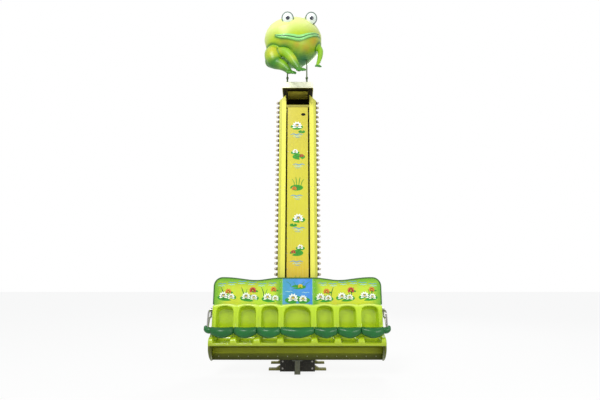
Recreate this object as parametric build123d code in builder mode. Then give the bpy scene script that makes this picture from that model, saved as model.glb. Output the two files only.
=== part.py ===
from build123d import *
import os
from math import cos, sin, radians

# Children's drop tower ride: a tower with a bench car of seven seats that slides up its front,
# one lap bar across the bench, and a frog figure on top.
# Millimetres. X to the right, Y into the scene (the ride faces -Y), Z up.
# The origin is on the ground under the middle of the tower.

# Base
base_width = 546.0
base_front = -150.0
base_back = 560.0
base_plate_t = 16.0
base_top = 180.0
base_wall = 8.0
base_edge = 12.0
foot_plate_width = 680.0
foot_plate_depth = 340.0
foot_plate_t = 20.0
outrigger_x = 400.0
outrigger_rows = [-40.0, 440.0]
outrigger_height = 60.0
outrigger_width = 80.0
outrigger_pad = 110.0
outrigger_pad_t = 15.0
anchor_hole_r = 10.0

# Tower
tower_half_width = 320.0
tower_front = -150.0
tower_back = 150.0
column_face = 110.0
column_wall = 8.0
column_top_inner = 4700.0
column_top_slope = 110.0
panel_slot = 28.0
panel_inset = 14.0
panel_t = 4.0
panel_flange = 36.0
ledge_drop = 240.0
ledge_height = 50.0
ledge_depth = 80.0
ledge_setback = 4.0
ledge_round = 15.0
back_cover_t = 4.0
panel_hole_x = 100.0
panel_hole_drop = 140.0
panel_hole_width = 80.0
panel_hole_height = 55.0

# Lamp rows
lamp_rail_t = 12.0
lamp_rail_width = 50.0
lamp_y = -110.0
lamp_pitch = 90.0
lamp_end_margin = 30.0
lamp_first_z = 590.0
lamp_r = 22.0
lamp_length = 53.0
lamp_taper = 9.0
lamp_sides = 6

# Head
head_front = -290.0
head_side_drop = 130.0
head_rise = 55.0
head_flare = 55.0
head_step = 16.0
head_side_t = 30.0
head_beam_height = 34.0
head_beam_depth = 60.0
head_foot = 12.0
head_back_t = 8.0
cap_overhang = 13.0
cap_front = -300.0
cap_back = 170.0
cap_height = 120.0
cap_edge = 14.0
cap_chamfer = 7.0

# Frog figure: heights and reaches are from the middle of its body, before it is turned
frog_x = -90.0
frog_y = -110.0
frog_rise = 980.0
frog_turn = 18.0
frog_roll = 7.0
frog_half_width = 548.0
frog_half_depth = 472.0
frog_head_height = 330.0
frog_belly_height = 530.0
frog_sides = 24
limb_sides = 8
eye_sides = 16
eye_rings = 7
eye_pole = 78.0
eye_r = 108.0
eye_left = (-200.0, -366.0, 170.0)
eye_right = (246.0, -384.0, 202.0)
post_r = 12.0
post_left = -190.0
post_right = 165.0
post_y = -160.0
post_sleeve_r = 15.0
post_sleeve_height = 150.0
post_collar_r = 23.0
post_collar_t = 30.0

# Car
child_pitch = 345.0
centre_pitch = 500.0
cheek_t = 20.0
panel_front = -300.0
back_panel_t = 26.0
shoulder_z = 1444.0
middle_z = 1438.0
dip_z = 1400.0
shoulder_inset = 169.0
dip_x = 635.0
back_panel_overhang = 30.0
corner_r = 140.0
blue_half = 254.0
rim_t = 18.0
rim_depth = 38.0
seat_top = 1020.0
seat_crest = 1038.0
seat_bottom = 455.0
ledge_front = -450.0
niche_rib = 56.0
niche_draft = 22.0
niche_crown = 1005.0
niche_arch = 0.55
niche_back = -326.0
niche_front = -700.0
pan_z = 495.0
pan_rise = 14.0
seat_front = -650.0
rib_foot_z = 760.0
rib_lean = 14.0
bolster_y = -545.0
bolster_z = 600.0
bolster_nose = 20.0
bolster_nose_z = 562.0
seat_bulge = 10.0
seat_bulge_z = 520.0
cheek_curve_y = -560.0
cheek_curve_z = 290.0
cheek_toe = -420.0
skirt_bottom = 210.0
skirt_front = -345.0
skirt_t = 20.0
skirt_band_low = 318.0
skirt_band_high = 390.0
skirt_band_out = 22.0
frame_beam = 60.0
frame_top_z = 1130.0
frame_bottom_z = 520.0
frame_post_inset = 105.0

# Carriage in the tower
carriage_bottom = 480.0
carriage_top = 1200.0
carriage_plate_t = 12.0
carriage_back = 60.0
carriage_tube = 60.0
carriage_chamfer = 60.0
roller_r = 50.0
roller_width = 40.0
roller_gap = 0.4
roller_sides = 12
axle_r = 12.0
axle_length = 60.0
roller_offset = 18.0
roller_inset = 80.0
axle_sides = 6

# Landing post
post_front = -340.0
post_size = 80.0
post_foot_t = 22.0
post_foot_margin = 6.0
post_edge = 4.0
post_top = 190.0
landing_gap = 0.5
landing_pad_t = 12.0
landing_pad_margin = 2.0

# Lap bar
pivot_y = -385.0
pivot_z = 942.0
bar_y = -612.0
bar_z = 668.0
bar_r = 21.0
arm_clear = 5.0
hub_width = 32.0
hub_r = 32.0
pin_r = 12.0
pin_gap = 0.3
arm_tube_r = 14.0
arm_sides = 8
arm_bend = 60.0
arm_knee_y = -575.0
brace_drop = 105.0
brace_start = 20.0
brace_end = 70.0
brace_bend = 36.0
boss_r = 46.0
boss_t = 6.0
lug_r = 27.0
cap_r = 38.0
cap_t = 36.0
roll_r = 50.0
pad_gap = 3.0
pad_bore_gap = 0.4
pad_top = 722.0
pad_rear = -565.0
pad_end_height = 100.0
pad_end_depth = 98.0
pad_mid_height = 150.0
pad_mid_depth = 158.0
pad_sides = 12
bore_sides = 16

# Places that follow from the sizes above
column_top_outer = column_top_inner - column_top_slope
ledge_bottom = column_top_inner - ledge_drop
panel_hole_z = ledge_bottom - panel_hole_drop
lamp_count = int((column_top_outer - lamp_end_margin - lamp_first_z) // lamp_pitch) + 1
head_bottom = column_top_inner - head_side_drop
head_top = column_top_inner + head_rise
column_inner_x = tower_half_width - column_face
head_outer = column_inner_x + head_flare
head_inner = column_inner_x + head_step
cap_half_width = head_outer + cap_overhang
foot_plate_top = base_top + foot_plate_t
panel_half = column_inner_x - panel_slot
panel_face_y = tower_front + panel_inset
cap_top = head_top + cap_height
frog_centre = Vector(frog_x, frog_y, cap_top + frog_rise)
niche_count = 7
seat_half = centre_pitch / 2 + 3 * child_pitch
car_half = seat_half + cheek_t
back_panel_half = car_half + back_panel_overhang
shoulder_x = back_panel_half - shoulder_inset
frame_post_x = seat_half - frame_post_inset
panel_back = panel_front + back_panel_t
frame_back = panel_back + frame_beam
pin_x0 = car_half + boss_t
hub_x0 = pin_x0 + arm_clear
hub_x1 = hub_x0 + hub_width
arm_x = hub_x0 + hub_width / 2
lap_half = hub_x0

os.makedirs("parts", exist_ok=True)


def keep(piece, name):
    """Label a finished piece and write it to its own file."""
    piece.part.label = name
    export_step(piece.part, f"parts/{name}.step")


def section(plane, half_wide, half_high, sides):
    """A straight-sided section on a plane, with its corners on an ellipse around the plane's origin."""
    corners = []
    for i in range(sides):
        angle = radians(360 * (i + 0.5) / sides)
        corners.append((half_wide * cos(angle), half_high * sin(angle)))
    with BuildSketch(plane) as outline:
        with BuildLine():
            Polyline(*corners, close=True)
        make_face()
    return outline.sketch


def box(x0, x1, y0, y1, z0, z1):
    """A block between two corners, added to the part that is being built."""
    with Locations(((x0 + x1) / 2, (y0 + y1) / 2, (z0 + z1) / 2)):
        Box(x1 - x0, y1 - y0, z1 - z0)


# Base plate, housing and outriggers
with BuildPart() as base_plate:
    with BuildSketch(Plane.XY):
        with Locations((0, (base_front + base_back) / 2)):
            Rectangle(base_width, base_back - base_front)
    extrude(amount=base_plate_t)
keep(base_plate, "base_plate")

with BuildPart() as base_housing:
    box(-base_width / 2, base_width / 2, base_front, base_back, base_plate_t, base_top)
    chamfer(base_housing.edges().filter_by(Axis.Z), base_edge)
    with BuildSketch(Plane.XY.offset(base_plate_t)):
        with Locations((0, (base_front + base_back) / 2)):
            Rectangle(base_width - 2 * base_wall, base_back - base_front - 2 * base_wall)
        chamfer(vertices(), base_edge)
    extrude(amount=base_top - base_plate_t - base_wall, mode=Mode.SUBTRACT)
keep(base_housing, "base_housing")

with BuildPart() as foot_plate:
    box(
        -foot_plate_width / 2, foot_plate_width / 2,
        -foot_plate_depth / 2, foot_plate_depth / 2, base_top, foot_plate_top,
    )
    fillet(foot_plate.edges().filter_by(Axis.Z), foot_plate_t)
keep(foot_plate, "foot_plate")

outrigger_reach = outrigger_x + outrigger_pad / 2
with BuildPart() as outriggers:
    for y in outrigger_rows:
        for side in (-1, 1):
            near = side * base_width / 2
            far = side * outrigger_reach
            with BuildSketch(Plane.XZ.offset(-y - outrigger_width / 2)):
                with BuildLine():
                    Polyline(
                        (near, base_plate_t), (near, outrigger_height + base_plate_t),
                        (side * (outrigger_x - outrigger_pad / 2), outrigger_pad_t + base_plate_t),
                        (far, outrigger_pad_t + base_plate_t), (far, 0),
                        (side * (outrigger_x - outrigger_pad / 2), 0), (near, 0), close=True,
                    )
                make_face()
            extrude(amount=outrigger_width)
            with Locations((side * outrigger_x, y, (outrigger_pad_t + base_plate_t) / 2)):
                Hole(anchor_hole_r, depth=outrigger_pad_t + base_plate_t)
keep(outriggers, "outriggers")

# Landing post, which the car stands on when it is down
with BuildPart() as landing_post:
    box(
        -post_size / 2 - post_foot_margin, post_size / 2 + post_foot_margin,
        post_front - post_foot_margin, base_front, 0, post_foot_t,
    )
    box(-post_size / 2, post_size / 2, post_front, post_front + post_size, post_foot_t, post_top)
    fillet(landing_post.edges().filter_by(Axis.Z).sort_by(Axis.Y)[2:4], post_edge)
keep(landing_post, "landing_post")

# Columns: channels whose open side faces the tower's middle, with sloped tops
def column(side):
    with BuildPart() as piece:
        with BuildSketch(Plane.XY.offset(foot_plate_top)):
            with Locations((side * (tower_half_width - column_face / 2), 0)):
                Rectangle(column_face, tower_back - tower_front)
            with Locations((side * (tower_half_width - column_wall - column_face / 2), 0)):
                Rectangle(
                    column_face, tower_back - tower_front - 2 * column_wall, mode=Mode.SUBTRACT,
                )
        extrude(amount=column_top_inner - foot_plate_top)
        with BuildSketch(Plane.XZ.offset(tower_front)):
            with BuildLine():
                Polyline(
                    (side * column_inner_x, column_top_inner),
                    (side * tower_half_width, column_top_outer),
                    (side * tower_half_width, column_top_inner), close=True,
                )
            make_face()
        extrude(amount=-2 * (tower_back - tower_front), both=True, mode=Mode.SUBTRACT)
    return piece


keep(column(-1), "column_left")
keep(column(1), "column_right")

# Recessed front panel: a folded tray that stands clear of both columns
with BuildPart() as front_panel:
    with BuildSketch(Plane.XY.offset(foot_plate_top)):
        with Locations((0, panel_face_y + panel_flange / 2)):
            Rectangle(2 * panel_half, panel_flange)
        with Locations((0, panel_face_y + panel_t + panel_flange / 2)):
            Rectangle(2 * (panel_half - panel_t), panel_flange, mode=Mode.SUBTRACT)
    extrude(amount=ledge_bottom - foot_plate_top)
    with BuildSketch(Plane.XZ.offset(-panel_face_y)):
        with Locations((panel_hole_x, panel_hole_z)):
            Ellipse(panel_hole_width / 2, panel_hole_height / 2)
    extrude(amount=-panel_t, mode=Mode.SUBTRACT)
keep(front_panel, "front_panel")

# Folded ledge across the tower above the panel
with BuildPart() as panel_ledge:
    ledge_y = tower_front + ledge_setback
    ledge_top = ledge_bottom + ledge_height
    box(-column_inner_x, column_inner_x, ledge_y, ledge_y + ledge_depth, ledge_bottom, ledge_top)
    fillet(panel_ledge.edges().filter_by(Axis.X).group_by(Axis.Y)[0], ledge_round)
keep(panel_ledge, "panel_ledge")

with BuildPart() as back_cover:
    box(
        -tower_half_width, tower_half_width, tower_back, tower_back + back_cover_t,
        foot_plate_top, column_top_outer,
    )
keep(back_cover, "back_cover")

# Lamp rows on the outer sides of both columns
def lamp_rail(side):
    x0 = side * tower_half_width
    rail_z0 = lamp_first_z - lamp_pitch / 2
    rail_z1 = lamp_first_z + (lamp_count - 0.5) * lamp_pitch
    with BuildPart() as piece:
        with Locations((x0 + side * lamp_rail_t / 2, lamp_y, (rail_z0 + rail_z1) / 2)):
            Box(lamp_rail_t, lamp_rail_width, rail_z1 - rail_z0)
        face = Plane((x0 + side * lamp_rail_t, lamp_y, lamp_first_z), x_dir=(0, 0, 1), z_dir=(side, 0, 0))
        spots = [(i * lamp_pitch, 0) for i in range(lamp_count)]
        with BuildSketch(face):
            with Locations(spots):
                RegularPolygon(lamp_r, lamp_sides)
        extrude(amount=lamp_length, taper=lamp_taper)
    return piece


keep(lamp_rail(-1), "lamp_rail_left")
keep(lamp_rail(1), "lamp_rail_right")

# Head: a beam under the cap and a tapered gusset at each side
with BuildPart() as head_frame:
    for side in (-1, 1):
        with BuildSketch(Plane.XZ.offset(-head_front)):
            with BuildLine():
                Polyline(
                    (side * head_inner, head_top), (side * head_outer, head_top),
                    (side * head_outer, head_top - head_beam_height),
                    (side * (column_inner_x + head_foot), column_top_inner),
                    (side * column_inner_x, column_top_inner),
                    (side * column_inner_x, head_bottom),
                    (side * (column_inner_x - head_side_t), head_bottom),
                    (side * (column_inner_x - head_side_t), head_top), close=True,
                )
            make_face()
        extrude(amount=-(tower_back - head_front))
    box(
        -column_inner_x, column_inner_x, head_front, head_front + head_beam_depth,
        head_top - head_beam_height, head_top,
    )
    box(-column_inner_x, column_inner_x, tower_back - head_back_t, tower_back, column_top_outer, head_top)
keep(head_frame, "head_frame")

with BuildPart() as head_cap:
    box(-cap_half_width, cap_half_width, cap_front, cap_back, head_top, cap_top)
    fillet(head_cap.edges().filter_by(Axis.Z), cap_edge)
    chamfer(head_cap.edges().group_by(Axis.Z)[-1], cap_chamfer)
keep(head_cap, "head_cap")

# Frog figure
def frog_place(x, y, z):
    """A point of the figure, given from its middle with the figure facing -Y, tilted and turned."""
    tilted = Vector(x, y, z).rotate(Axis.Y, -frog_roll)
    return tilted.rotate(Axis.Z, frog_turn) + frog_centre


# Rings of the body from the belly up: height, half width, half depth
frog_rings = [
    (-1.00, 0.18, 0.18), (-0.96, 0.31, 0.31), (-0.86, 0.52, 0.52), (-0.66, 0.75, 0.76),
    (-0.36, 0.955, 0.96), (0.00, 1.00, 1.00), (0.32, 0.945, 0.95), (0.58, 0.84, 0.85),
    (0.80, 0.64, 0.64), (0.93, 0.43, 0.43), (1.00, 0.18, 0.18),
]
with BuildPart() as frog_body:
    for height, wide, deep in frog_rings:
        reach = frog_head_height if height > 0 else frog_belly_height
        spot = frog_place(0, 0, height * reach)
        side_way = frog_place(1, 0, height * reach) - spot
        up_way = frog_place(0, 0, height * reach + 1) - spot
        ring_plane = Plane(spot, x_dir=side_way, z_dir=up_way)
        add(section(ring_plane, wide * frog_half_width, deep * frog_half_depth, frog_sides))
    loft(ruled=True)
keep(frog_body, "frog_body")


def eye(spot):
    """An eyeball of straight-sided rings from its bottom to its top."""
    centre = frog_place(*spot)
    with BuildPart() as piece:
        for i in range(eye_rings):
            angle = radians(eye_pole * (2 * i / (eye_rings - 1) - 1))
            ring_plane = Plane(centre + Vector(0, 0, eye_r * sin(angle)))
            add(section(ring_plane, eye_r * cos(angle), eye_r * cos(angle), eye_sides))
        loft(ruled=True)
    return piece.part


with BuildPart() as frog_eyes:
    for spot in (eye_left, eye_right):
        add(eye(spot))
    add(frog_body.part, mode=Mode.SUBTRACT)
keep(frog_eyes, "frog_eyes")


def limb(stations):
    """A limb of the figure: sections at stations (x, y, z, radius), joined by straight skins."""
    spots = [frog_place(x, y, z) for x, y, z, _ in stations]
    across = frog_place(1, 0, 0) - frog_centre
    with BuildPart() as piece:
        for i, spot in enumerate(spots):
            way = spots[min(i + 1, len(spots) - 1)] - spots[max(i - 1, 0)]
            level = across - way * (across.dot(way) / way.dot(way))
            radius = stations[i][3]
            add(section(Plane(spot, x_dir=level, z_dir=way), radius, radius, limb_sides))
        loft(ruled=True)
    return piece.part


# Limbs of the near side, and the shorter, raised ones of the far side
thigh_near = [
    (-477, 156, -250, 90), (-468, 23, -300, 142), (-484, -101, -405, 156), (-490, -200, -530, 112),
]
shin_near = [
    (-540, -50, -520, 98), (-455, -165, -610, 100), (-350, -290, -735, 74), (-285, -375, -890, 50),
]
foreleg_near = [
    (-350, -250, -440, 88), (-290, -345, -520, 86), (-220, -445, -710, 70), (-162, -520, -910, 46),
]
thigh_far = [
    (370, 250, -250, 80), (385, 140, -300, 112), (350, 20, -370, 90),
]
shin_far = [
    (365, 60, -400, 72), (300, 40, -480, 58), (235, 20, -555, 40),
]
foreleg_far = [
    (405, -215, -270, 58), (402, -270, -395, 56), (350, -318, -545, 46), (272, -347, -710, 32),
]
toe_radius = 19.0
toes_near = [(-365, -425, -935), (-315, -445, -952), (-262, -450, -955), (-212, -435, -945)]
fingers_near = [(-225, -560, -948), (-180, -578, -962), (-130, -578, -958), (-82, -560, -942)]
fingers_far = [(222, -365, -742), (255, -385, -755), (292, -385, -757), (325, -365, -745)]
toes_far = [(190, -30, -575), (225, -45, -590), (265, -40, -590)]


def digits(root, tips):
    """Toes or fingers from one root, added to the part that is being built."""
    for tip in tips:
        add(limb([(*root, toe_radius), (*tip, toe_radius)]))


with BuildPart() as frog_legs:
    for stations in (thigh_near, shin_near, thigh_far, shin_far):
        add(limb(stations))
    digits((-290, -370, -880), toes_near)
    digits((238, 15, -550), toes_far)
    add(frog_body.part, mode=Mode.SUBTRACT)
keep(frog_legs, "frog_legs")

with BuildPart() as frog_arms:
    for stations in (foreleg_near, foreleg_far):
        add(limb(stations))
    digits((-165, -515, -895), fingers_near)
    digits((275, -345, -695), fingers_far)
    add(frog_body.part, mode=Mode.SUBTRACT)
    add(frog_legs.part, mode=Mode.SUBTRACT)
keep(frog_arms, "frog_arms")

with BuildPart() as frog_posts:
    for x in (post_left, post_right):
        base = Plane((x, post_y, cap_top))
        collar = base.offset(post_sleeve_height - post_collar_t / 2)
        for plane, radius, length in (
            (base, post_r, frog_rise), (base, post_sleeve_r, post_sleeve_height),
            (collar, post_collar_r, post_collar_t),
        ):
            with BuildSketch(plane):
                RegularPolygon(radius, limb_sides)
            extrude(amount=length)
    add(frog_body.part, mode=Mode.SUBTRACT)
    add(frog_legs.part, mode=Mode.SUBTRACT)
    add(frog_arms.part, mode=Mode.SUBTRACT)
keep(frog_posts, "frog_posts")

# Carriage: two plates that pass through the slots, tied by tubes inside the tower
arm_plate_x = panel_half + panel_slot / 2
with BuildPart() as carriage_frame:
    for side in (-1, 1):
        with BuildSketch(Plane.YZ.offset(side * arm_plate_x - carriage_plate_t / 2)):
            with BuildLine():
                Polyline(
                    (frame_back, carriage_bottom), (carriage_back, carriage_bottom),
                    (carriage_back, carriage_top), (frame_back + carriage_chamfer, carriage_top),
                    (frame_back, carriage_top - carriage_chamfer), close=True,
                )
            make_face()
        extrude(amount=carriage_plate_t)
    for z in (carriage_bottom + carriage_tube, carriage_top - carriage_tube):
        box(
            -arm_plate_x, arm_plate_x, -carriage_tube / 2, carriage_tube / 2,
            z - carriage_tube / 2, z + carriage_tube / 2,
        )
keep(carriage_frame, "carriage_frame")

# Rollers run inside the channels, on the inner faces of their flanges
roller_y = tower_back - column_wall - roller_gap - roller_r
with BuildPart() as carriage_rollers:
    roller_x0 = arm_plate_x + carriage_plate_t / 2
    for side in (-1, 1):
        for z in (carriage_bottom + roller_inset, carriage_top - roller_inset):
            for y in (-roller_y, roller_y):
                plane = Plane(
                    (side * roller_x0, y, z), x_dir=(0, 1, 0), z_dir=(side, 0, 0),
                )
                with BuildSketch(plane):
                    RegularPolygon(axle_r, axle_sides)
                extrude(amount=axle_length)
                with BuildSketch(plane.offset(roller_offset)):
                    RegularPolygon(roller_r, roller_sides)
                extrude(amount=roller_width)
keep(carriage_rollers, "carriage_rollers")

# Frame behind the back panel
with BuildPart() as car_frame:
    for z in (frame_top_z, frame_bottom_z):
        box(-seat_half, seat_half, panel_back, frame_back, z, z + frame_beam)
    for x in (-frame_post_x, -arm_plate_x, arm_plate_x, frame_post_x):
        x0 = x - frame_beam / 2
        x1 = x + frame_beam / 2
        box(x0, x1, panel_back, frame_back, skirt_bottom, frame_top_z + frame_beam)
    pad_bottom = post_top + landing_gap
    box(
        -post_size, post_size, post_front - landing_pad_margin, frame_back,
        pad_bottom, pad_bottom + landing_pad_t,
    )
    for x in (-post_size, post_size - landing_pad_t):
        box(x, x + landing_pad_t, panel_back, frame_back, post_top, frame_bottom_z)
keep(car_frame, "car_frame")

# Wavy back panel in three parts with a rim along its upper edge
def panel_outline(inset, x0, x1, z0):
    """The back panel's outline seen from the front, smaller by an inset, kept between x0 and x1."""
    radius = corner_r - inset
    half = back_panel_half - inset
    diagonal = radius * sin(radians(45))
    with BuildSketch() as outline:
        with BuildLine():
            first = (blue_half, middle_z - inset)
            dip = (dip_x, dip_z - inset)
            crest = (shoulder_x, shoulder_z - inset)
            corner = (half - radius, shoulder_z - inset)
            Line((0, middle_z - inset), first)
            Spline(first, dip, crest, tangents=[(1, 0), (1, 0)])
            Line(crest, corner)
            ThreePointArc(
                corner,
                (half - radius + diagonal, shoulder_z - inset - radius + diagonal),
                (half, shoulder_z - inset - radius),
            )
            Polyline((half, shoulder_z - inset - radius), (half, z0), (0, z0), (0, middle_z - inset))
        make_face()
        mirror(about=Plane.YZ)
        with Locations(((x0 + x1) / 2, (z0 + shoulder_z) / 2)):
            Rectangle(x1 - x0, shoulder_z - z0, mode=Mode.INTERSECT)
    return outline.sketch


def back_panel(x0, x1):
    with BuildPart() as piece:
        with BuildSketch(Plane.XZ.offset(-panel_front)):
            add(panel_outline(rim_t, x0, x1, seat_bottom))
        extrude(amount=-back_panel_t)
    return piece


keep(back_panel(-back_panel_half, -blue_half), "back_panel_left")
keep(back_panel(-blue_half, blue_half), "back_panel_centre")
keep(back_panel(blue_half, back_panel_half), "back_panel_right")

with BuildPart() as back_panel_rim:
    with BuildSketch(Plane.XZ.offset(-panel_front + (rim_depth - back_panel_t) / 2)):
        add(panel_outline(0, -back_panel_half, back_panel_half, seat_top))
        add(panel_outline(rim_t, -back_panel_half, back_panel_half, seat_top), mode=Mode.SUBTRACT)
    extrude(amount=-rim_depth)
keep(back_panel_rim, "back_panel_rim")

# Seats: moulded niches with an arched top
def niche_outline(centre_x, half, floor_z, y):
    """A niche seen from the front, at one depth: a floor, two sides and an arch."""
    shoulder = niche_crown - half * niche_arch
    with BuildSketch(Plane.XZ.offset(-y)) as outline:
        with BuildLine():
            Polyline(
                (centre_x - half, shoulder), (centre_x - half, floor_z),
                (centre_x + half, floor_z), (centre_x + half, shoulder),
            )
            ThreePointArc(
                (centre_x + half, shoulder), (centre_x, niche_crown), (centre_x - half, shoulder),
            )
        make_face()
    return outline.sketch


def side_outline(low_z):
    """The bench seen from the side: ledge, front of a rib, bolster and nose, down to a height."""
    rib_foot = (ledge_front - rib_lean, rib_foot_z)
    nose = (seat_front + bolster_nose, bolster_nose_z)
    with BuildLine() as line:
        Polyline((panel_front, low_z), (panel_front, seat_crest), (ledge_front, seat_crest), rib_foot)
        Spline(rib_foot, (bolster_y, bolster_z), nose, tangents=[(0, -1), (-1, -0.15)])
        ThreePointArc(nose, (seat_front - seat_bulge, seat_bulge_z), (seat_front, seat_bottom))
    return line.line


def seat(centre_x, pitch):
    half = pitch / 2
    niche_half = half - niche_rib
    with BuildPart() as piece:
        with BuildSketch(Plane.YZ.offset(centre_x - half)):
            with BuildLine():
                add(side_outline(seat_bottom))
                Line((seat_front, seat_bottom), (panel_front, seat_bottom))
            make_face()
        extrude(amount=pitch)
        with BuildSketch(Plane.XZ.offset(-panel_front)):
            with BuildLine():
                Polyline(
                    (centre_x - half, seat_top), (centre_x - half, seat_bottom),
                    (centre_x + half, seat_bottom), (centre_x + half, seat_top),
                )
                ThreePointArc(
                    (centre_x + half, seat_top), (centre_x, seat_crest), (centre_x - half, seat_top),
                )
            make_face()
        extrude(amount=panel_front - niche_front, mode=Mode.INTERSECT)
        loft(
            [
                niche_outline(centre_x, niche_half, pan_z, niche_back),
                niche_outline(centre_x, niche_half + niche_draft, pan_z + pan_rise, niche_front),
            ],
            ruled=True, mode=Mode.SUBTRACT,
        )
    return piece


seat_centres = [-centre_pitch / 2 - (2.5 - i) * child_pitch for i in range(3)] + [0]
seat_centres += [-x for x in reversed(seat_centres[:3])]
seat_pitches = [child_pitch] * 3 + [centre_pitch] + [child_pitch] * 3
for i in range(niche_count):
    keep(seat(seat_centres[i], seat_pitches[i]), f"seat_{i + 1}")


# End cheeks close the bench and carry the lap bar's pivots
def cheek(side):
    with BuildPart() as piece:
        x0 = seat_half if side > 0 else -car_half
        with BuildSketch(Plane.YZ.offset(x0)):
            with BuildLine():
                add(side_outline(skirt_bottom))
                Spline(
                    (seat_front, seat_bottom), (cheek_curve_y, cheek_curve_z), (cheek_toe, skirt_bottom),
                    tangents=[(0.05, -1), (1, -0.4)],
                )
                Line((cheek_toe, skirt_bottom), (panel_front, skirt_bottom))
            make_face()
        extrude(amount=cheek_t)
    return piece


keep(cheek(-1), "end_cheek_left")
keep(cheek(1), "end_cheek_right")

# Skirt below the seats, with a raised band along its upper half
with BuildPart() as skirt_panel:
    with BuildSketch(Plane.YZ.offset(-seat_half)):
        with BuildLine():
            band_front = skirt_front - skirt_band_out
            Polyline(
                (skirt_front, skirt_bottom), (skirt_front, skirt_band_low - skirt_band_out),
                (band_front, skirt_band_low), (band_front, skirt_band_high),
                (skirt_front, skirt_band_high + skirt_band_out), (skirt_front, seat_bottom),
                (skirt_front + skirt_t, seat_bottom), (skirt_front + skirt_t, skirt_bottom), close=True,
            )
        make_face()
    extrude(amount=2 * seat_half)
keep(skirt_panel, "skirt_panel")

# Pivot brackets: a boss on each cheek with the pin that the arm turns on
with BuildPart() as pivot_brackets:
    for side in (-1, 1):
        plane = Plane((side * car_half, pivot_y, pivot_z), x_dir=(0, 1, 0), z_dir=(side, 0, 0))
        with BuildSketch(plane):
            Circle(boss_r)
        extrude(amount=boss_t)
        with BuildSketch(plane):
            Circle(pin_r)
        extrude(amount=hub_x1 - car_half)
keep(pivot_brackets, "pivot_brackets")

# Lap bar: a tube across the bench, bent arms, pads and end caps
with BuildPart() as lap_tube:
    with BuildSketch(Plane.YZ.offset(-lap_half)):
        with Locations((bar_y, bar_z)):
            Circle(bar_r)
    extrude(amount=2 * lap_half)
keep(lap_tube, "lap_tube")

arm_route = [(pivot_y, pivot_z), (arm_knee_y, pivot_z), (bar_y, bar_z)]
brace_route = [
    (pivot_y, pivot_z), (pivot_y - brace_start, pivot_z - brace_drop),
    (arm_knee_y + brace_end, pivot_z - brace_drop), (bar_y, bar_z),
]
arm_bends = [(arm_route, arm_bend), (brace_route, brace_bend)]


def arm(side):
    with BuildPart() as piece:
        for route, bend in arm_bends:
            with BuildLine(Plane.YZ.offset(side * arm_x)) as path:
                FilletPolyline(*route, radius=bend)
            with BuildSketch(Plane(origin=path.line @ 0, z_dir=path.line % 0)):
                RegularPolygon(arm_tube_r, arm_sides)
            sweep(path=path.line)
        x0 = hub_x0 if side > 0 else -hub_x1
        with BuildSketch(Plane.YZ.offset(x0)):
            with Locations((pivot_y, pivot_z)):
                Circle(hub_r)
            with Locations((bar_y, bar_z)):
                Circle(lug_r)
        extrude(amount=hub_width)
        with BuildSketch(Plane.YZ.offset(x0)):
            with Locations((pivot_y, pivot_z)):
                Circle(pin_r + pin_gap)
        extrude(amount=hub_width, mode=Mode.SUBTRACT)
    return piece


keep(arm(-1), "lap_arm_left")
keep(arm(1), "lap_arm_right")


pad_stations = [-1.0, -0.85, -0.45, 0.0, 0.45, 0.85, 1.0]


def pad(x0, x1):
    """One lobe of the padding: level on top and behind, bulging down and forward in the middle."""
    with BuildPart() as piece:
        for station in pad_stations:
            bulge = cos(radians(90 * station))
            depth = pad_end_depth + (pad_mid_depth - pad_end_depth) * bulge
            height = pad_end_height + (pad_mid_height - pad_end_height) * bulge
            middle = ((x0 + x1) / 2 + station * (x1 - x0) / 2, pad_rear - depth / 2, pad_top - height / 2)
            add(section(Plane(middle, x_dir=(0, 1, 0), z_dir=(1, 0, 0)), depth / 2, height / 2, pad_sides))
        loft(ruled=True)
        with BuildSketch(Plane.YZ.offset(x0 - pad_gap)):
            with Locations((bar_y, bar_z)):
                RegularPolygon(bar_r + pad_bore_gap, bore_sides, major_radius=False)
        extrude(amount=x1 - x0 + 2 * pad_gap, mode=Mode.SUBTRACT)
    return piece


for i in range(niche_count):
    half = seat_pitches[i] / 2 - pad_gap / 2
    keep(pad(seat_centres[i] - half, seat_centres[i] + half), f"lap_pad_{i + 1}")

with BuildPart() as lap_end_caps:
    for side in (-1, 1):
        roll_x0 = seat_half if side > 0 else -lap_half
        with BuildSketch(Plane.YZ.offset(roll_x0)):
            with Locations((bar_y, bar_z)):
                RegularPolygon(roll_r, pad_sides)
                RegularPolygon(bar_r + pad_bore_gap, bore_sides, major_radius=False, mode=Mode.SUBTRACT)
        extrude(amount=lap_half - seat_half)
        end_x0 = hub_x1 if side > 0 else -hub_x1 - cap_t
        with BuildSketch(Plane.YZ.offset(end_x0)):
            with Locations((bar_y, bar_z)):
                RegularPolygon(cap_r, pad_sides)
        extrude(amount=cap_t)
keep(lap_end_caps, "lap_end_caps")
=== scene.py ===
"""Finishes the drop tower ride: its paint, mouldings, lamps, padding and figure."""

import math

import bmesh
import bpy
import numpy as np
from bpy.props import FloatProperty, FloatVectorProperty, IntProperty, PointerProperty
from mathutils import Matrix, Vector
from mathutils.bvhtree import BVHTree


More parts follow.
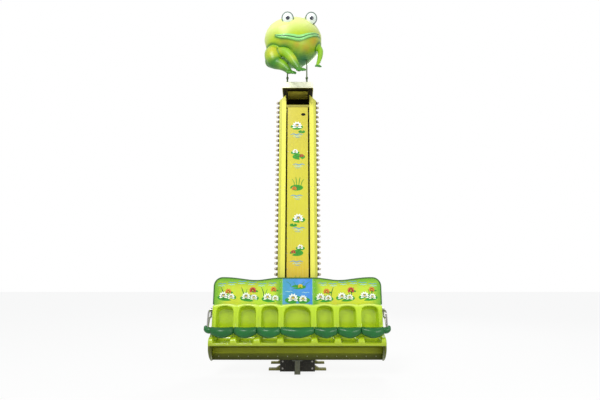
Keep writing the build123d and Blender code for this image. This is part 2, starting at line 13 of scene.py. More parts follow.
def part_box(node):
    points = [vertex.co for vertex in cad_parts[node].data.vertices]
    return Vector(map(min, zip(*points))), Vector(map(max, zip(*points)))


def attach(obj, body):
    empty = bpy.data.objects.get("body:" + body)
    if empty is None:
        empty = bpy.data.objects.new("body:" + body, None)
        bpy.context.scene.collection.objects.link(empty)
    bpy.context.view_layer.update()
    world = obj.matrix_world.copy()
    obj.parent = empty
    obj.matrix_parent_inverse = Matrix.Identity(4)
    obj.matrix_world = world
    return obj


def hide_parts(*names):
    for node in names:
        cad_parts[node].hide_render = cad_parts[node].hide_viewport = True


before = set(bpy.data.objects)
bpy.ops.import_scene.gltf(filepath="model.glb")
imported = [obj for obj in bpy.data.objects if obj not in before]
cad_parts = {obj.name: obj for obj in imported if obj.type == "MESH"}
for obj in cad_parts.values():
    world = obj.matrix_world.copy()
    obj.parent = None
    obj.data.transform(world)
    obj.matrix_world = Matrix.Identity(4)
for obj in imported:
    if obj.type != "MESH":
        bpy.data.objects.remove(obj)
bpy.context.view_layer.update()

bl_info = {
    "name": "Drop Tower Ride Looks",
    "version": (1, 0, 0),
    "blender": (4, 5, 0),
    "location": "3D View > Sidebar > Ride",
    "description": "Finishes a drop tower ride around its packed frame",
    "category": "Object",
}

SEAT_COUNT = 7


def paint(red, green, blue):
    """A colour named by its screen values from 0 to 255, as the linear values that shaders take."""
    def linear(value):
        value /= 255
        return value / 12.92 if value <= 0.04045 else ((value + 0.055) / 1.055) ** 2.4
    return linear(red), linear(green), linear(blue)


def colour_setting(name, description, red, green, blue):
    """A colour that the user may change, with its default in screen values."""
    return FloatVectorProperty(
        name=name, description=description, subtype="COLOR", size=3, min=0, max=1,
        default=paint(red, green, blue),
    )


def length_setting(name, description, value):
    """A length that the user may change, in metres."""
    return FloatProperty(
        name=name, description=description, subtype="DISTANCE", unit="LENGTH", min=0, default=value,
    )


class RideColours(bpy.types.PropertyGroup):
    """Colours of the ride's finishes."""
    column: colour_setting("Columns", "Gloss paint of the two columns", 231, 227, 86)
    panel: colour_setting("Front panel", "Gloss paint of the recessed panel", 207, 200, 50)
    cap: colour_setting("Cap", "Pale paint of the box on top", 255, 255, 226)
    # Painted shade: the dark olive that the hollow of the head and the tower's inside show in shade.
    recess_shade: colour_setting("Head recess", "Dark paint inside the head", 27, 24, 2)
    black: colour_setting("Black steel", "Paint of the base and the head's gussets", 30, 29, 20)
    olive: colour_setting("Outriggers", "Paint of the outriggers", 132, 130, 62)
    post: colour_setting("Landing post", "Paint of the post under the car", 74, 76, 60)
    carriage: colour_setting("Carriage", "Paint of the steel behind the bench", 72, 74, 66)
    lime: colour_setting("Back panel", "Yellow-green in the middle of the back panel", 204, 214, 34)
    lime_edge: colour_setting("Back panel edge", "Green towards the back panel's edges", 106, 174, 14)
    blue: colour_setting("Blue panel", "Middle part of the back panel", 60, 140, 222)
    rim: colour_setting("Rim", "Edge moulding of the back panel", 44, 98, 6)
    seat: colour_setting("Seats", "Moulded ribs and ledge of the bench", 194, 226, 36)
    # Painted shade inside the seats' niches.
    seat_niche_shade: colour_setting("Niches", "Deeper colour inside the seats", 194, 220, 36)
    # Olive, darkened as painted shade of the bench above it.
    skirt: colour_setting("Skirt", "Panel below the seats", 92, 100, 4)
    pad: colour_setting("Padding", "Vinyl of the lap bar's pads", 8, 98, 36)
    steel: colour_setting("Steel", "Bare and plated steel", 120, 120, 122)
    figure_light: colour_setting("Figure, light", "Upper side of the figure", 228, 240, 146)
    figure_mid: colour_setting("Figure, middle", "Main colour of the figure", 172, 198, 22)
    # Painted shade in the figure's folds, under its lips and between its limbs.
    figure_fold_shade: colour_setting("Figure, dark", "Shading in the figure's folds", 40, 120, 14)
    figure_warm: colour_setting("Figure, warm", "Orange bloom on the figure's chest", 196, 164, 20)
    lips: colour_setting("Lips", "Pale green lips of the figure", 146, 222, 128)
    eye: colour_setting("Eyes", "White of the figure's eyes", 236, 246, 240)


class RideSizes(bpy.types.PropertyGroup):
    """Sizes of the details that are added to the frame."""
    lamp_pitch: length_setting("Lamp pitch", "Distance between lamps along a column", 0.09)
    bolt_radius: length_setting("Bolt radius", "Radius of a hexagon bolt's head", 0.011)
    rivet_radius: length_setting("Rivet radius", "Radius of a dome rivet's head", 0.006)
    art_lift: length_setting("Decal thickness", "How far each layer of the decals stands off", 0.0012)
    pad_voxel: length_setting("Pad remesh size", "Mesh size of the padding before it swells", 0.006)
    pad_swell: length_setting("Pad swell", "Most that the padding may move as it swells", 0.009)
    figure_voxel: length_setting("Figure remesh size", "Mesh size of the figure's skin", 0.011)
    pad_pressure: FloatProperty(
        name="Pad pressure", description="Pressure inside the padding", min=0, default=4.0,
    )
    pad_frames: IntProperty(
        name="Pad frames", description="Steps of the padding's simulation", min=1, default=20,
    )


def sizes():
    """The sizes that the user has set."""
    return bpy.context.scene.ride_sizes


def colours():
    """The colours that the user has set."""
    return bpy.context.scene.ride_colours


def rgba(colour):
    """A colour with full alpha."""
    return tuple(colour) + (1.0,)


# Node trees
def feed(tree, socket, value):
    """Links an output to a socket, or sets the socket's own value."""
    if isinstance(value, bpy.types.NodeSocket):
        tree.links.new(value, socket)
    else:
        socket.default_value = value


def node(tree, kind, inputs=None, **settings):
    """Adds a node, sets its properties, and fills or links its inputs by name or number."""
    made = tree.nodes.new(kind)
    for key, value in settings.items():
        setattr(made, key, value)
    for key, value in (inputs or {}).items():
        feed(tree, made.inputs[key], value)
    return made


def math_node(tree, operation, *values, clamp=False):
    """One mathematical operation on numbers and outputs."""
    made = node(tree, "ShaderNodeMath", dict(enumerate(values)), operation=operation, use_clamp=clamp)
    return made.outputs[0]


def noise(tree, place, scale, detail):
    """The value of a noise texture at a place."""
    return node(tree, "ShaderNodeTexNoise", {"Vector": place, "Scale": scale, "Detail": detail}).outputs[0]


def ranged(tree, value, low, high, bottom=0.0, top=1.0, shape="LINEAR"):
    """A value carried from one range over to another."""
    inputs = {0: value, 1: low, 2: high, 3: bottom, 4: top}
    return node(tree, "ShaderNodeMapRange", inputs, interpolation_type=shape).outputs[0]


def mix_colour(tree, factor, first, second, blend="MIX"):
    """Two colours mixed by a factor."""
    inputs = {0: factor, 6: first, 7: second}
    return node(tree, "ShaderNodeMix", inputs, data_type="RGBA", blend_type=blend).outputs[2]


def brightened(tree, colour, level):
    """A colour made lighter or darker by a value."""
    grey = node(tree, "ShaderNodeCombineColor", {0: level, 1: level, 2: level}).outputs[0]
    return mix_colour(tree, 1.0, colour, grey, "MULTIPLY")


def ramp(tree, value, low, high):
    """A straight rise from 0 at one value to 1 at another."""
    made = node(tree, "ShaderNodeValToRGB", {0: value})
    for point, place, level in zip(made.color_ramp.elements, (low, high), (0.0, 1.0)):
        point.position = place
        point.color = (level, level, level, 1.0)
    return made.outputs[0]


COLOUR = "NodeSocketColor"
VALUE = "NodeSocketFloat"
VECTOR = "NodeSocketVector"
SURFACE = [("Colour", COLOUR, None), ("Roughness", VALUE, None), ("Height", VALUE, None)]


def new_group(name, inputs, outputs, kind="ShaderNodeTree"):
    """An empty node group with its sockets: inputs and outputs are (name, socket type, default)."""
    tree = bpy.data.node_groups.new(name, kind)
    for direction, sockets in (("INPUT", inputs), ("OUTPUT", outputs)):
        for label, socket_type, default in sockets:
            made = tree.interface.new_socket(name=label, in_out=direction, socket_type=socket_type)
            if default is not None:
                made.default_value = default
    start = tree.nodes.new("NodeGroupInput")
    end = tree.nodes.new("NodeGroupOutput")
    return tree, start.outputs, end.inputs


def gloss_paint_group():
    """Sprayed paint: soft mottling, faint runs of weather, dust in a given share, orange peel."""
    tree, given, result = new_group("Sprayed paint", [
        ("Place", VECTOR, None), ("Colour", COLOUR, None), ("Mottle", VALUE, 0.05),
        ("Runs", VALUE, 0.08), ("Dust", VALUE, 0.05), ("Gloss", VALUE, 0.3),
    ], SURFACE)
    place = given["Place"]
    level = ranged(tree, noise(tree, place, 1.7, 3.0), 0.3, 0.7, -1.0, 1.0)
    brightness = math_node(tree, "MULTIPLY_ADD", level, given["Mottle"], 1.0)
    mottled = brightened(tree, given["Colour"], brightness)
    upright = node(tree, "ShaderNodeVectorMath", {0: place, 1: (34.0, 34.0, 1.1)}, operation="MULTIPLY")
    run_mask = ramp(tree, noise(tree, upright.outputs[0], 1.0, 4.0), 0.50, 0.72)
    run_share = math_node(tree, "MULTIPLY", run_mask, given["Runs"])
    speck_mask = ramp(tree, noise(tree, place, 46.0, 6.0), 0.54, 0.78)
    dust_share = math_node(tree, "MULTIPLY", speck_mask, given["Dust"])
    weathered = mix_colour(tree, run_share, mottled, (0.10, 0.09, 0.035, 1.0))
    dusted = mix_colour(tree, dust_share, weathered, (0.30, 0.27, 0.19, 1.0))
    worn = math_node(tree, "ADD", run_share, dust_share)
    rough = math_node(tree, "MULTIPLY_ADD", worn, 0.6, given["Gloss"], clamp=True)
    peel = noise(tree, place, 190.0, 1.0)
    swells = noise(tree, place, 7.0, 2.0)
    feed(tree, result["Colour"], dusted)
    feed(tree, result["Roughness"], rough)
    feed(tree, result["Height"], math_node(tree, "MULTIPLY_ADD", swells, 6.0, peel))
    return tree


def vinyl_group():
    """Grain of padded vinyl: fine pebbles, softer creases, and a slightly uneven dye."""
    tree, given, result = new_group("Pebbled vinyl", [
        ("Place", VECTOR, None), ("Colour", COLOUR, None), ("Grain", VALUE, 320.0),
    ], SURFACE)
    place = given["Place"]
    pebbles = node(tree, "ShaderNodeTexVoronoi", {"Vector": place, "Scale": given["Grain"]})
    creases = noise(tree, place, 16.0, 5.0)
    dye = ranged(tree, noise(tree, place, 5.0, 3.0), 0.3, 0.7, 0.82, 1.14)
    feed(tree, result["Colour"], brightened(tree, given["Colour"], dye))
    feed(tree, result["Roughness"], ranged(tree, creases, 0.3, 0.7, 0.26, 0.40))
    height = math_node(tree, "MULTIPLY_ADD", creases, 3.0, pebbles.outputs["Distance"])
    feed(tree, result["Height"], height)
    return tree


def airbrush_group():
    """A second colour blown over a first where a mask says, with an uneven edge."""
    tree, given, result = new_group("Airbrush", [
        ("Place", VECTOR, None), ("Under", COLOUR, None), ("Over", COLOUR, None),
        ("Mask", VALUE, 0.0), ("Unevenness", VALUE, 0.2), ("Scale", VALUE, 9.0),
    ], [("Colour", COLOUR, None)])
    centred = math_node(tree, "SUBTRACT", noise(tree, given["Place"], given["Scale"], 4.0), 0.5)
    shift = math_node(tree, "MULTIPLY", centred, given["Unevenness"])
    present = math_node(tree, "MULTIPLY", given["Mask"], 6.0, clamp=True)
    gated = math_node(tree, "MULTIPLY", shift, present)
    share = math_node(tree, "ADD", given["Mask"], gated, clamp=True)
    feed(tree, result["Colour"], mix_colour(tree, share, given["Under"], given["Over"]))
    return tree


GROUP_MAKERS = {"paint": gloss_paint_group, "vinyl": vinyl_group, "airbrush": airbrush_group}
GROUPS = {}


def use_group(tree, name, inputs):
    """Places a shared group, built on its first use, with a material's own values."""
    if name not in GROUPS:
        GROUPS[name] = GROUP_MAKERS[name]()
    return node(tree, "ShaderNodeGroup", inputs, node_tree=GROUPS[name]).outputs


# Materials
MATERIALS = {}
ACROSS, DEPTH, UP = range(3)
COAT, COAT_ROUGHNESS, SHINE = "Coat Weight", "Coat Roughness", "Specular IOR Level"


class Finish:
    """A material built up in layers: a ground colour, then colours blown over it where masks say."""

    def __init__(self, name, ground):
        self.material = bpy.data.materials.new(name)
        self.material.use_nodes = True
        self.tree = self.material.node_tree
        self.shader = self.tree.nodes["Principled BSDF"]
        self.place = self.tree.nodes.new("ShaderNodeTexCoord").outputs["Object"]
        self.colour = rgba(ground)

    def along(self, axis, low, high, both_sides=False, shape="SMOOTHSTEP"):
        """A mask from 0 to 1 between two places along an axis, or on both sides of its middle."""
        value = node(self.tree, "ShaderNodeSeparateXYZ", {0: self.place}).outputs[axis]
        if both_sides:
            value = math_node(self.tree, "ABSOLUTE", value)
        return ranged(self.tree, value, low, high, shape=shape)

    def join(self, operation, first, second):
        """Two masks joined by a mathematical operation."""
        return math_node(self.tree, operation, first, second)

    def patches(self, scale, detail, low, high):
        """A mask of soft clouds."""
        return ramp(self.tree, noise(self.tree, self.place, scale, detail), low, high)

    def marked(self, name):
        """A mask that the mesh carries."""
        made = node(self.tree, "ShaderNodeAttribute", attribute_name=name, attribute_type="GEOMETRY")
        return made.outputs["Fac"]

    def spray(self, over, mask, unevenness=0.2, scale=9.0):
        """Blows a colour over those below it where a mask says."""
        self.colour = use_group(self.tree, "airbrush", {
            "Place": self.place, "Under": self.colour, "Over": rgba(over), "Mask": mask,
            "Unevenness": unevenness, "Scale": scale,
        })["Colour"]

    def surface(self, group, inputs, bump, sockets, distance=0.001):
        """Feeds a group's outputs to the shader, and sets the shader's own sockets."""
        outputs = use_group(self.tree, group, {"Place": self.place, "Colour": self.colour, **inputs})
        relief = node(self.tree, "ShaderNodeBump", {
            "Strength": bump, "Distance": distance, "Height": outputs["Height"],
        })
        for name, value in {
            "Base Color": outputs["Colour"], "Roughness": outputs["Roughness"],
            "Normal": relief.outputs[0], **sockets,
        }.items():
            feed(self.tree, self.shader.inputs[name], value)
        return self.material

    def lacquer(self, mottle, runs, dust, gloss, bump=0.12, sockets=None):
        """Ends the layers as sprayed paint: shares of mottle, runs and dust, then roughness."""
        inputs = {"Mottle": mottle, "Runs": runs, "Dust": dust, "Gloss": gloss}
        return self.surface("paint", inputs, bump, sockets or {})


def painted(
    name, colour, mottle=0.05, runs=0.08, dust=0.05, gloss=0.3, coat=0.0, metallic=0.0,
    bump=0.12, shine=0.5,
):
    """A plain sprayed finish, made once for each name."""
    if name not in MATERIALS:
        sockets = {COAT: coat, COAT_ROUGHNESS: 0.08, "Metallic": metallic, SHINE: shine}
        MATERIALS[name] = Finish(name, colour).lacquer(mottle, runs, dust, gloss, bump, sockets)
    return MATERIALS[name]


def vinyl(name, colour):
    """The padding's vinyl in one colour."""
    return Finish(name, colour).surface(
        "vinyl", {}, 0.25, {SHINE: 0.3, COAT: 0.22, COAT_ROUGHNESS: 0.16}, 0.0008,
    )


# Meshes
def linked(name, data):
    """A new object in the scene."""
    made = bpy.data.objects.new(name, data)
    bpy.context.scene.collection.objects.link(made)
    return made


def evaluated(shown):
    """The mesh that an object has after its modifiers."""
    return bpy.data.meshes.new_from_object(shown.evaluated_get(bpy.context.evaluated_depsgraph_get()))


def circle(count):
    """Angles spaced evenly round a circle."""
    return [2 * math.pi * j / count for j in range(count)]


def face_outwards(mesh):
    """Turns the faces of closed shapes outwards."""
    work = bmesh.new()
    work.from_mesh(mesh)
    bmesh.ops.recalc_face_normals(work, faces=work.faces)
    work.to_mesh(mesh)
    work.free()


def finish_piece(name, mesh, body, materials, smooth=True, replaces=(), face_materials=None):
    """A finished mesh that rides on a body, takes its materials and may stand for frame nodes."""
    face_outwards(mesh)
    built = linked(name, mesh)
    mesh.materials.clear()
    for material in materials:
        mesh.materials.append(material)
    mesh.polygons.foreach_set("use_smooth", [smooth] * len(mesh.polygons))
    if face_materials is not None:
        mesh.polygons.foreach_set("material_index", list(face_materials))
    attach(built, body)
    if replaces:
        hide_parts(*replaces)
    return built


def dress(material, *node_names):
    """Gives frame nodes their material. Their shape stays as it is."""
    for name in node_names:
        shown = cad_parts[name]
        if shown.material_slots:
            for slot in shown.material_slots:
                slot.material = material
        else:
            shown.data.materials.append(material)


class Skin:
    """Collects vertices and faces of several simple shapes into one mesh."""

    def __init__(self):
        self.vertices = []
        self.faces = []
        self.marks = []

    def add(self, vertices, faces, mark=0):
        """Adds one shape, its faces marked with the number of their material."""
        start = len(self.vertices)
        self.vertices.extend(Vector(v) for v in vertices)
        self.faces.extend(tuple(i + start for i in face) for face in faces)
        self.marks.extend([mark] * len(faces))

    def loft(self, rings, mark=0, capped=True):
        """Joins rings of equal count, each listed anticlockwise about the way to the next ring."""
        count = len(rings[0])
        faces = []
        for i in range(len(rings) - 1):
            for j in range(count):
                k = (j + 1) % count
                faces.append((i * count + j, i * count + k, (i + 1) * count + k, (i + 1) * count + j))
        if capped:
            last = (len(rings) - 1) * count
            faces += [tuple(reversed(range(count))), tuple(range(last, last + count))]
        self.add([point for ring in rings for point in ring], faces, mark)

    def tube(self, points, radii, sides=16, mark=0, rounded=False):
        """A round skin along points, each with its radius, with closed or rounded ends."""
        points = [Vector(p) for p in points]
        radii = [float(radius) for radius in radii]
        if rounded:
            points, radii = round_ends(points, radii)
        rings = []
        side_way = None
        for i, (point, radius) in enumerate(zip(points, radii)):
            along = points[min(i + 1, len(points) - 1)] - points[max(i - 1, 0)]
            along.normalize()
            if side_way is None:
                guess = Vector((0, 0, 1)) if abs(along.z) < 0.9 else Vector((1, 0, 0))
                side_way = guess.cross(along).normalized()
            side_way = (side_way - along * side_way.dot(along)).normalized()
            other = along.cross(side_way)
            rings.append([
                point + radius * (side_way * math.cos(a) + other * math.sin(a)) for a in circle(sides)
            ])
        self.loft(rings, mark)

    def limb(self, stations, sides, place=Vector):
        """A tube with rounded ends along stations (x, y, z, radius)."""
        self.tube([place(row[:3]) for row in stations], [row[3] for row in stations], sides, rounded=True)

    def ball(self, centre, radii, turn=None, segments=32, rings=16):
        """An ellipsoid, turned by a matrix if one is given."""
        turn = turn or Matrix.Identity(3)
        centre = Vector(centre)

        def spot(lat, lon):
            return centre + turn @ Vector((
                radii[0] * math.cos(lat) * math.cos(lon), radii[1] * math.cos(lat) * math.sin(lon),
                radii[2] * math.sin(lat),
            ))

        start = len(self.vertices)
        lats = [math.pi * i / rings - math.pi / 2 for i in range(1, rings)]
        self.loft([[spot(lat, lon) for lon in circle(segments)] for lat in lats], capped=False)
        bottom = len(self.vertices)
        self.vertices += [centre + turn @ Vector((0, 0, z)) for z in (-radii[2], radii[2])]
        last = start + (rings - 2) * segments
        for j in range(segments):
            k = (j + 1) % segments
            self.faces += [(bottom, start + k, start + j), (bottom + 1, last + j, last + k)]
            self.marks += [0, 0]

    def mesh(self, name):
        """A new mesh of all the shapes."""
        made = bpy.data.meshes.new(name)
        made.from_pydata([tuple(v) for v in self.vertices], [], self.faces)
        made.update()
        return made

    def build(self, name, body, slot, materials, smooth=True, replaces=()):
        """The shapes as one finished piece."""
        return finish_piece(name, self.mesh(name), body, materials, smooth, replaces, self.marks)


def round_ends(points, radii, steps=5):
    """Adds shrinking rings at both ends of a path, so that its skin ends in half a ball."""
    angles = [math.pi / 2 * i / steps for i in range(1, steps)] + [math.radians(88)]

    def cap(end, inner, radius):
        way = (end - inner).normalized()
        return [(end + way * radius * math.sin(a), radius * math.cos(a)) for a in angles]

    head = cap(points[0], points[1], radii[0])[::-1]
    tail = cap(points[-1], points[-2], radii[-1])
    rounded = head + list(zip(points, radii)) + tail
    return [p for p, _ in rounded], [r for _, r in rounded]


def smooth_path(points, steps=8):
    """Points along a smooth line through given ones, of any number of values each."""
    given = np.array(points, float)
    padded = np.vstack([2 * given[0] - given[1], given, 2 * given[-1] - given[-2]])
    result = []
    for i in range(1, len(padded) - 2):
        a, b, c, d = padded[i - 1:i + 3]
        for t in np.linspace(0, 1, steps, endpoint=False):
            result.append(0.5 * (
                2 * b + (c - a) * t + (2 * a - 5 * b + 4 * c - d) * t * t + (3 * b - a - 3 * c + d) * t ** 3
            ))
    result.append(given[-1])
    return np.array(result)


def smooth_step(value, low, high):
    """A soft rise from 0 at one value to 1 at another."""
    t = np.clip((np.asarray(value, float) - low) / (high - low), 0, 1)
    return t * t * (3 - 2 * t)


def set_attribute(mesh, name, values):
    """Writes one number for each vertex."""
    made = mesh.attributes.new(name, "FLOAT", "POINT")
    made.data.foreach_set("value", np.asarray(values, np.float32))


def mesh_points(mesh):
    """All vertices of a mesh as the rows of an array."""
    flat = np.empty(len(mesh.vertices) * 3)
    mesh.vertices.foreach_get("co", flat)
    return flat.reshape(-1, 3)


def bvh_of(mesh, place=Matrix()):
    """A tree of a mesh's faces, for rays to hit."""
    points = [place @ v.co for v in mesh.vertices]
    return BVHTree.FromPolygons(points, [tuple(p.vertices) for p in mesh.polygons])


def first_hit(tree, start, way, what):
    """Where a ray meets a skin, and the skin's normal there."""
    spot, normal, _, _ = tree.ray_cast(start, way)
    if spot is None:
        raise RuntimeError(f"there is no skin for {what} at {tuple(start)}")
    return spot, normal


def remesh(work, voxel):
    """Adds a modifier that gives an object's mesh an even size."""
    made = work.modifiers.new("Remesh", "REMESH")
    made.mode = "VOXEL"
    made.voxel_size = voxel
    return made


# Repeated parts by Geometry Nodes
def row_tree():
    """Places one part many times along a straight row, joins the copies and gives them a material."""
    tree, given, result = new_group("Row of parts", [
        ("Part", "NodeSocketObject", None), ("Count", "NodeSocketInt", 2), ("Start", VECTOR, None),
        ("Step", VECTOR, None), ("Turn", "NodeSocketRotation", None),
        ("Finish", "NodeSocketMaterial", None),
    ], [("Geometry", "NodeSocketGeometry", None)], kind="GeometryNodeTree")
    part = node(tree, "GeometryNodeObjectInfo", {"Object": given["Part"]})
    line = node(tree, "GeometryNodeMeshLine", {
        "Count": given["Count"], "Start Location": given["Start"], "Offset": given["Step"],
    })
    copies = node(tree, "GeometryNodeInstanceOnPoints", {
        "Points": line.outputs[0], "Instance": part.outputs["Geometry"], "Rotation": given["Turn"],
    })
    real = node(tree, "GeometryNodeRealizeInstances", {0: copies.outputs[0]})
    finish = node(tree, "GeometryNodeSetMaterial", {
        "Geometry": real.outputs[0], "Material": given["Finish"],
    })
    feed(tree, result[0], finish.outputs[0])
    return tree


def row_of(part, count, start, step, turn, material):
    """The mesh of one row: a part, how many, where the first is, the step, its turn and its finish."""
    holder = linked("row_work", bpy.data.meshes.new("row_work"))
    modifier = holder.modifiers.new("Row", "NODES")
    if "row" not in GROUPS:
        GROUPS["row"] = row_tree()
    tree = modifier.node_group = GROUPS["row"]
    sockets = {item.name: item.identifier for item in tree.interface.items_tree if item.in_out == "INPUT"}
    values = {"Part": part, "Count": count, "Start": start, "Step": step, "Turn": turn, "Finish": material}
    for label, value in values.items():
        modifier[sockets[label]] = value
    result = evaluated(holder)
    bpy.data.objects.remove(holder)
    return result


def finish_joined(name, meshes, body, replaces=()):
    """One finished piece from several meshes, with their materials kept."""
    joined = bmesh.new()
    finishes = []
    for mesh in meshes:
        first = len(joined.faces)
        joined.from_mesh(mesh)
        joined.faces.ensure_lookup_table()
        own = list(mesh.materials)
        finishes += [material for material in own if material not in finishes]
        for face in joined.faces[first:]:
            face.material_index = finishes.index(own[face.material_index])
    result = bpy.data.meshes.new(name)
    joined.to_mesh(result)
    joined.free()
    for mesh in meshes:
        bpy.data.meshes.remove(mesh)
    indices = [p.material_index for p in result.polygons]
    return finish_piece(name, result, body, finishes, replaces=replaces, face_materials=indices)


def turned_profile(profile, sides):
    """A closed skin turned about X from (distance along X, radius) pairs."""
    skin = Skin()
    skin.loft([[(x, r * math.cos(a), r * math.sin(a)) for a in circle(sides)] for x, r in profile])
    return skin


# Stage
CAMERA_PLACE = (0.04, -6.45, 1.40)
CAMERA_TILT = 102.0
CAMERA_LENS = 22.56
SENSOR_WIDTH = 36.0
FLOOR_HALF = 40.0
FLOOR_COLOUR = (0.86, 0.86, 0.85, 1)
FLOOR_WHITE_SHARE = 0.88
SKY_COLOUR = (0.95, 0.98, 1.0, 1)
SKY_STRENGTH = 0.50
WHITE = (1, 1, 1, 1)
# Each light: name, place, point that it looks at, size in metres and power in watts
LIGHTS = (
    ("Key light", (-3.2, -7.5, 8.5), (0, 0, 2.4), 3.6, 560),
    ("Fill light", (5.5, -6.0, 3.2), (0, 0, 1.8), 3.2, 170),
    ("Back light", (2.5, 6.5, 7.0), (0, 0, 2.6), 3.2, 260),
)


class RIDE_OT_stage(bpy.types.Operator):
    """Sets up the pale floor, the soft light and the camera"""
    bl_idname = "ride.stage"
    bl_label = "Stage"

    def execute(self, context):
        scene = context.scene
        scene.view_settings.view_transform = "Standard"
        add_floor()
        add_world()
        for light in LIGHTS:
            add_light(*light)
        lens = bpy.data.cameras.new("Camera")
        lens.sensor_width = SENSOR_WIDTH
        lens.lens = CAMERA_LENS
        view = linked("Camera", lens)
        view.location = CAMERA_PLACE
        view.rotation_euler = (math.radians(CAMERA_TILT), 0, 0)
        scene.camera = view
        return {"FINISHED"}


def seen_directly(tree):
    """1 for rays that show the surroundings, from the camera or in gloss and glass."""
    path = tree.nodes.new("ShaderNodeLightPath")
    first = math_node(tree, "MAXIMUM", path.outputs["Is Camera Ray"], path.outputs["Is Glossy Ray"])
    return math_node(tree, "MAXIMUM", first, path.outputs["Is Transmission Ray"])


def add_floor():
    """A pale floor that shows as white and keeps the object's shadow."""
    mesh = bpy.data.meshes.new("Floor")
    corners = [(x * FLOOR_HALF, y * FLOOR_HALF, 0) for x, y in ((-1, -1), (1, -1), (1, 1), (-1, 1))]
    mesh.from_pydata(corners, [], [(0, 1, 2, 3)])
    floor = linked("Floor", mesh)
    material = bpy.data.materials.new("Floor paint")
    material.use_nodes = True
    tree = material.node_tree
    matte = tree.nodes["Principled BSDF"]
    matte.inputs["Base Color"].default_value = FLOOR_COLOUR
    matte.inputs["Roughness"].default_value = 0.9
    white = node(tree, "ShaderNodeEmission", {"Color": WHITE, "Strength": 1.0})
    share = math_node(tree, "MULTIPLY", seen_directly(tree), FLOOR_WHITE_SHARE)
    mixed = node(tree, "ShaderNodeMixShader", {0: share, 1: matte.outputs[0], 2: white.outputs[0]})
    feed(tree, tree.nodes["Material Output"].inputs["Surface"], mixed.outputs[0])
    mesh.materials.append(material)


def add_world():
    """Soft light from all round that shows as white."""
    world = bpy.data.worlds.new("Surroundings")
    bpy.context.scene.world = world
    world.use_nodes = True
    tree = world.node_tree
    soft = tree.nodes["Background"]
    soft.inputs["Color"].default_value = SKY_COLOUR
    soft.inputs["Strength"].default_value = SKY_STRENGTH
    white = node(tree, "ShaderNodeBackground", {"Color": WHITE, "Strength": 1.0})
    mixed = node(tree, "ShaderNodeMixShader", {
        0: seen_directly(tree), 1: soft.outputs[0], 2: white.outputs[0],
    })
    feed(tree, tree.nodes["World Output"].inputs["Surface"], mixed.outputs[0])


def add_light(name, place, target, size, power):
    """A square area light that looks at a point."""
    lamp = bpy.data.lights.new(name, "AREA")
    lamp.size = size
    lamp.energy = power
    shown = linked(name, lamp)
    shown.location = place
    shown.rotation_euler = (Vector(target) - Vector(place)).to_track_quat("-Z", "Y").to_euler()


# Tower
class RIDE_OT_tower_finish(bpy.types.Operator):
    """Paints the base, columns, panels and head of the tower"""
    bl_idname = "ride.tower_finish"
    bl_label = "Tower finish"

    def execute(self, context):
        tint = colours()
        black = painted("Black steel paint", tint.black, 0.10, 0.10, 0.25, 0.50, shine=0.3)
        dress(black, "base_plate", "base_housing", "foot_plate")
        dress(painted("Outrigger paint", tint.olive, 0.10, 0.12, 0.30, 0.45), "outriggers")
        dress(painted("Post paint", tint.post, 0.10, 0.30, 0.30, 0.50), "landing_post")
        dress(column_paint(tint), "column_left", "column_right")
        dress(painted("Ledge paint", paint(160, 152, 50), 0.06, 0.10, 0.06, 0.3, 0.2), "panel_ledge")
        dress(front_panel_paint(tint), "front_panel")
        dress(back_cover_paint(tint), "back_cover")
        # The head frame is painted all over in the shade colour of the head's hollow: dark steel made
        # darker as painted shade.
        dress(painted("Head shade paint", tint.recess_shade, 0.12, 0.06, 0.0, 0.6, shine=0.05), "head_frame")
        dress(cap_paint(tint), "head_cap")
        return {"FINISHED"}


def column_paint(tint):
    """Gloss yellow, with painted shade on the strip along its outer edge, where a bevelled corner turns
    from the light, and a darker line at the strip's inner edge.
    """
    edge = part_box("column_right")[1].x
    made = Finish("Column paint with strip shade", tint.column)
    outer = made.along(ACROSS, edge - 0.036, edge - 0.032, both_sides=True)
    seam = made.join("MULTIPLY", outer, made.along(ACROSS, edge - 0.028, edge - 0.032, both_sides=True))
    # Painted shade on the outer strip of both columns.
    made.spray(paint(198, 199, 72), outer, 0.1, 3.0)
    made.spray(paint(176, 170, 50), seam, 0.0, 3.0)
    return made.lacquer(0.03, 0.05, 0.02, 0.24, sockets={COAT: 0.3})


def back_cover_paint(tint):
    """Yellow outside, with painted shade on the face that closes the tower's inside."""
    low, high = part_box("back_cover")
    made = Finish("Back cover paint with inner shade", tint.panel)
    # Painted shade of the tower's dark inside, on the inner face only.
    made.spray(tint.recess_shade, made.along(DEPTH, high.y - 0.001, low.y + 0.001), 0.0, 3.0)
    return made.lacquer(0.04, 0.10, 0.04, 0.45, sockets={SHINE: 0.3})


def cap_paint(tint):
    """Pale gloss outside, with painted shade in deeper yellow on the underside that closes the head's
    hollow.
    """
    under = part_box("head_cap")[0].z
    made = Finish("Cap paint with underside shade", tint.cap)
    # Painted shade on the underside, inside the head.
    made.spray(paint(204, 192, 70), made.along(UP, under + 0.003, under + 0.001), 0.0, 3.0)
    return made.lacquer(0.02, 0.05, 0.02, 0.25, sockets={COAT: 0.3})


def front_panel_paint(tint):
    """The recessed panel's paint: duller near the top, warmer at the foot of what shows."""
    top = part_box("front_panel")[1].z
    made = Finish("Front panel paint", tint.panel)
    made.spray(paint(222, 190, 44), made.along(UP, 2.1, 1.35), 0.3, 3.0)
    made.spray(paint(204, 192, 50), made.along(UP, top - 1.9, top), 0.25, 3.0)
    return made.lacquer(0.05, 0.06, 0.04, 0.26, sockets={COAT: 0.3})


# Lamps
RAIL_THICKNESS = 0.012
# A lamp's socket and its capped bulb, turned: distance out from the rail, radius
SOCKET_PROFILE = [
    (0.0, 0.029), (0.004, 0.029), (0.006, 0.026), (0.014, 0.026), (0.016, 0.028), (0.020, 0.028),
    (0.021, 0.020),
]
BULB_PROFILE = [
    (0.019, 0.019), (0.026, 0.022), (0.036, 0.0235), (0.044, 0.022), (0.051, 0.0175), (0.055, 0.010),
    (0.057, 0.003),
]


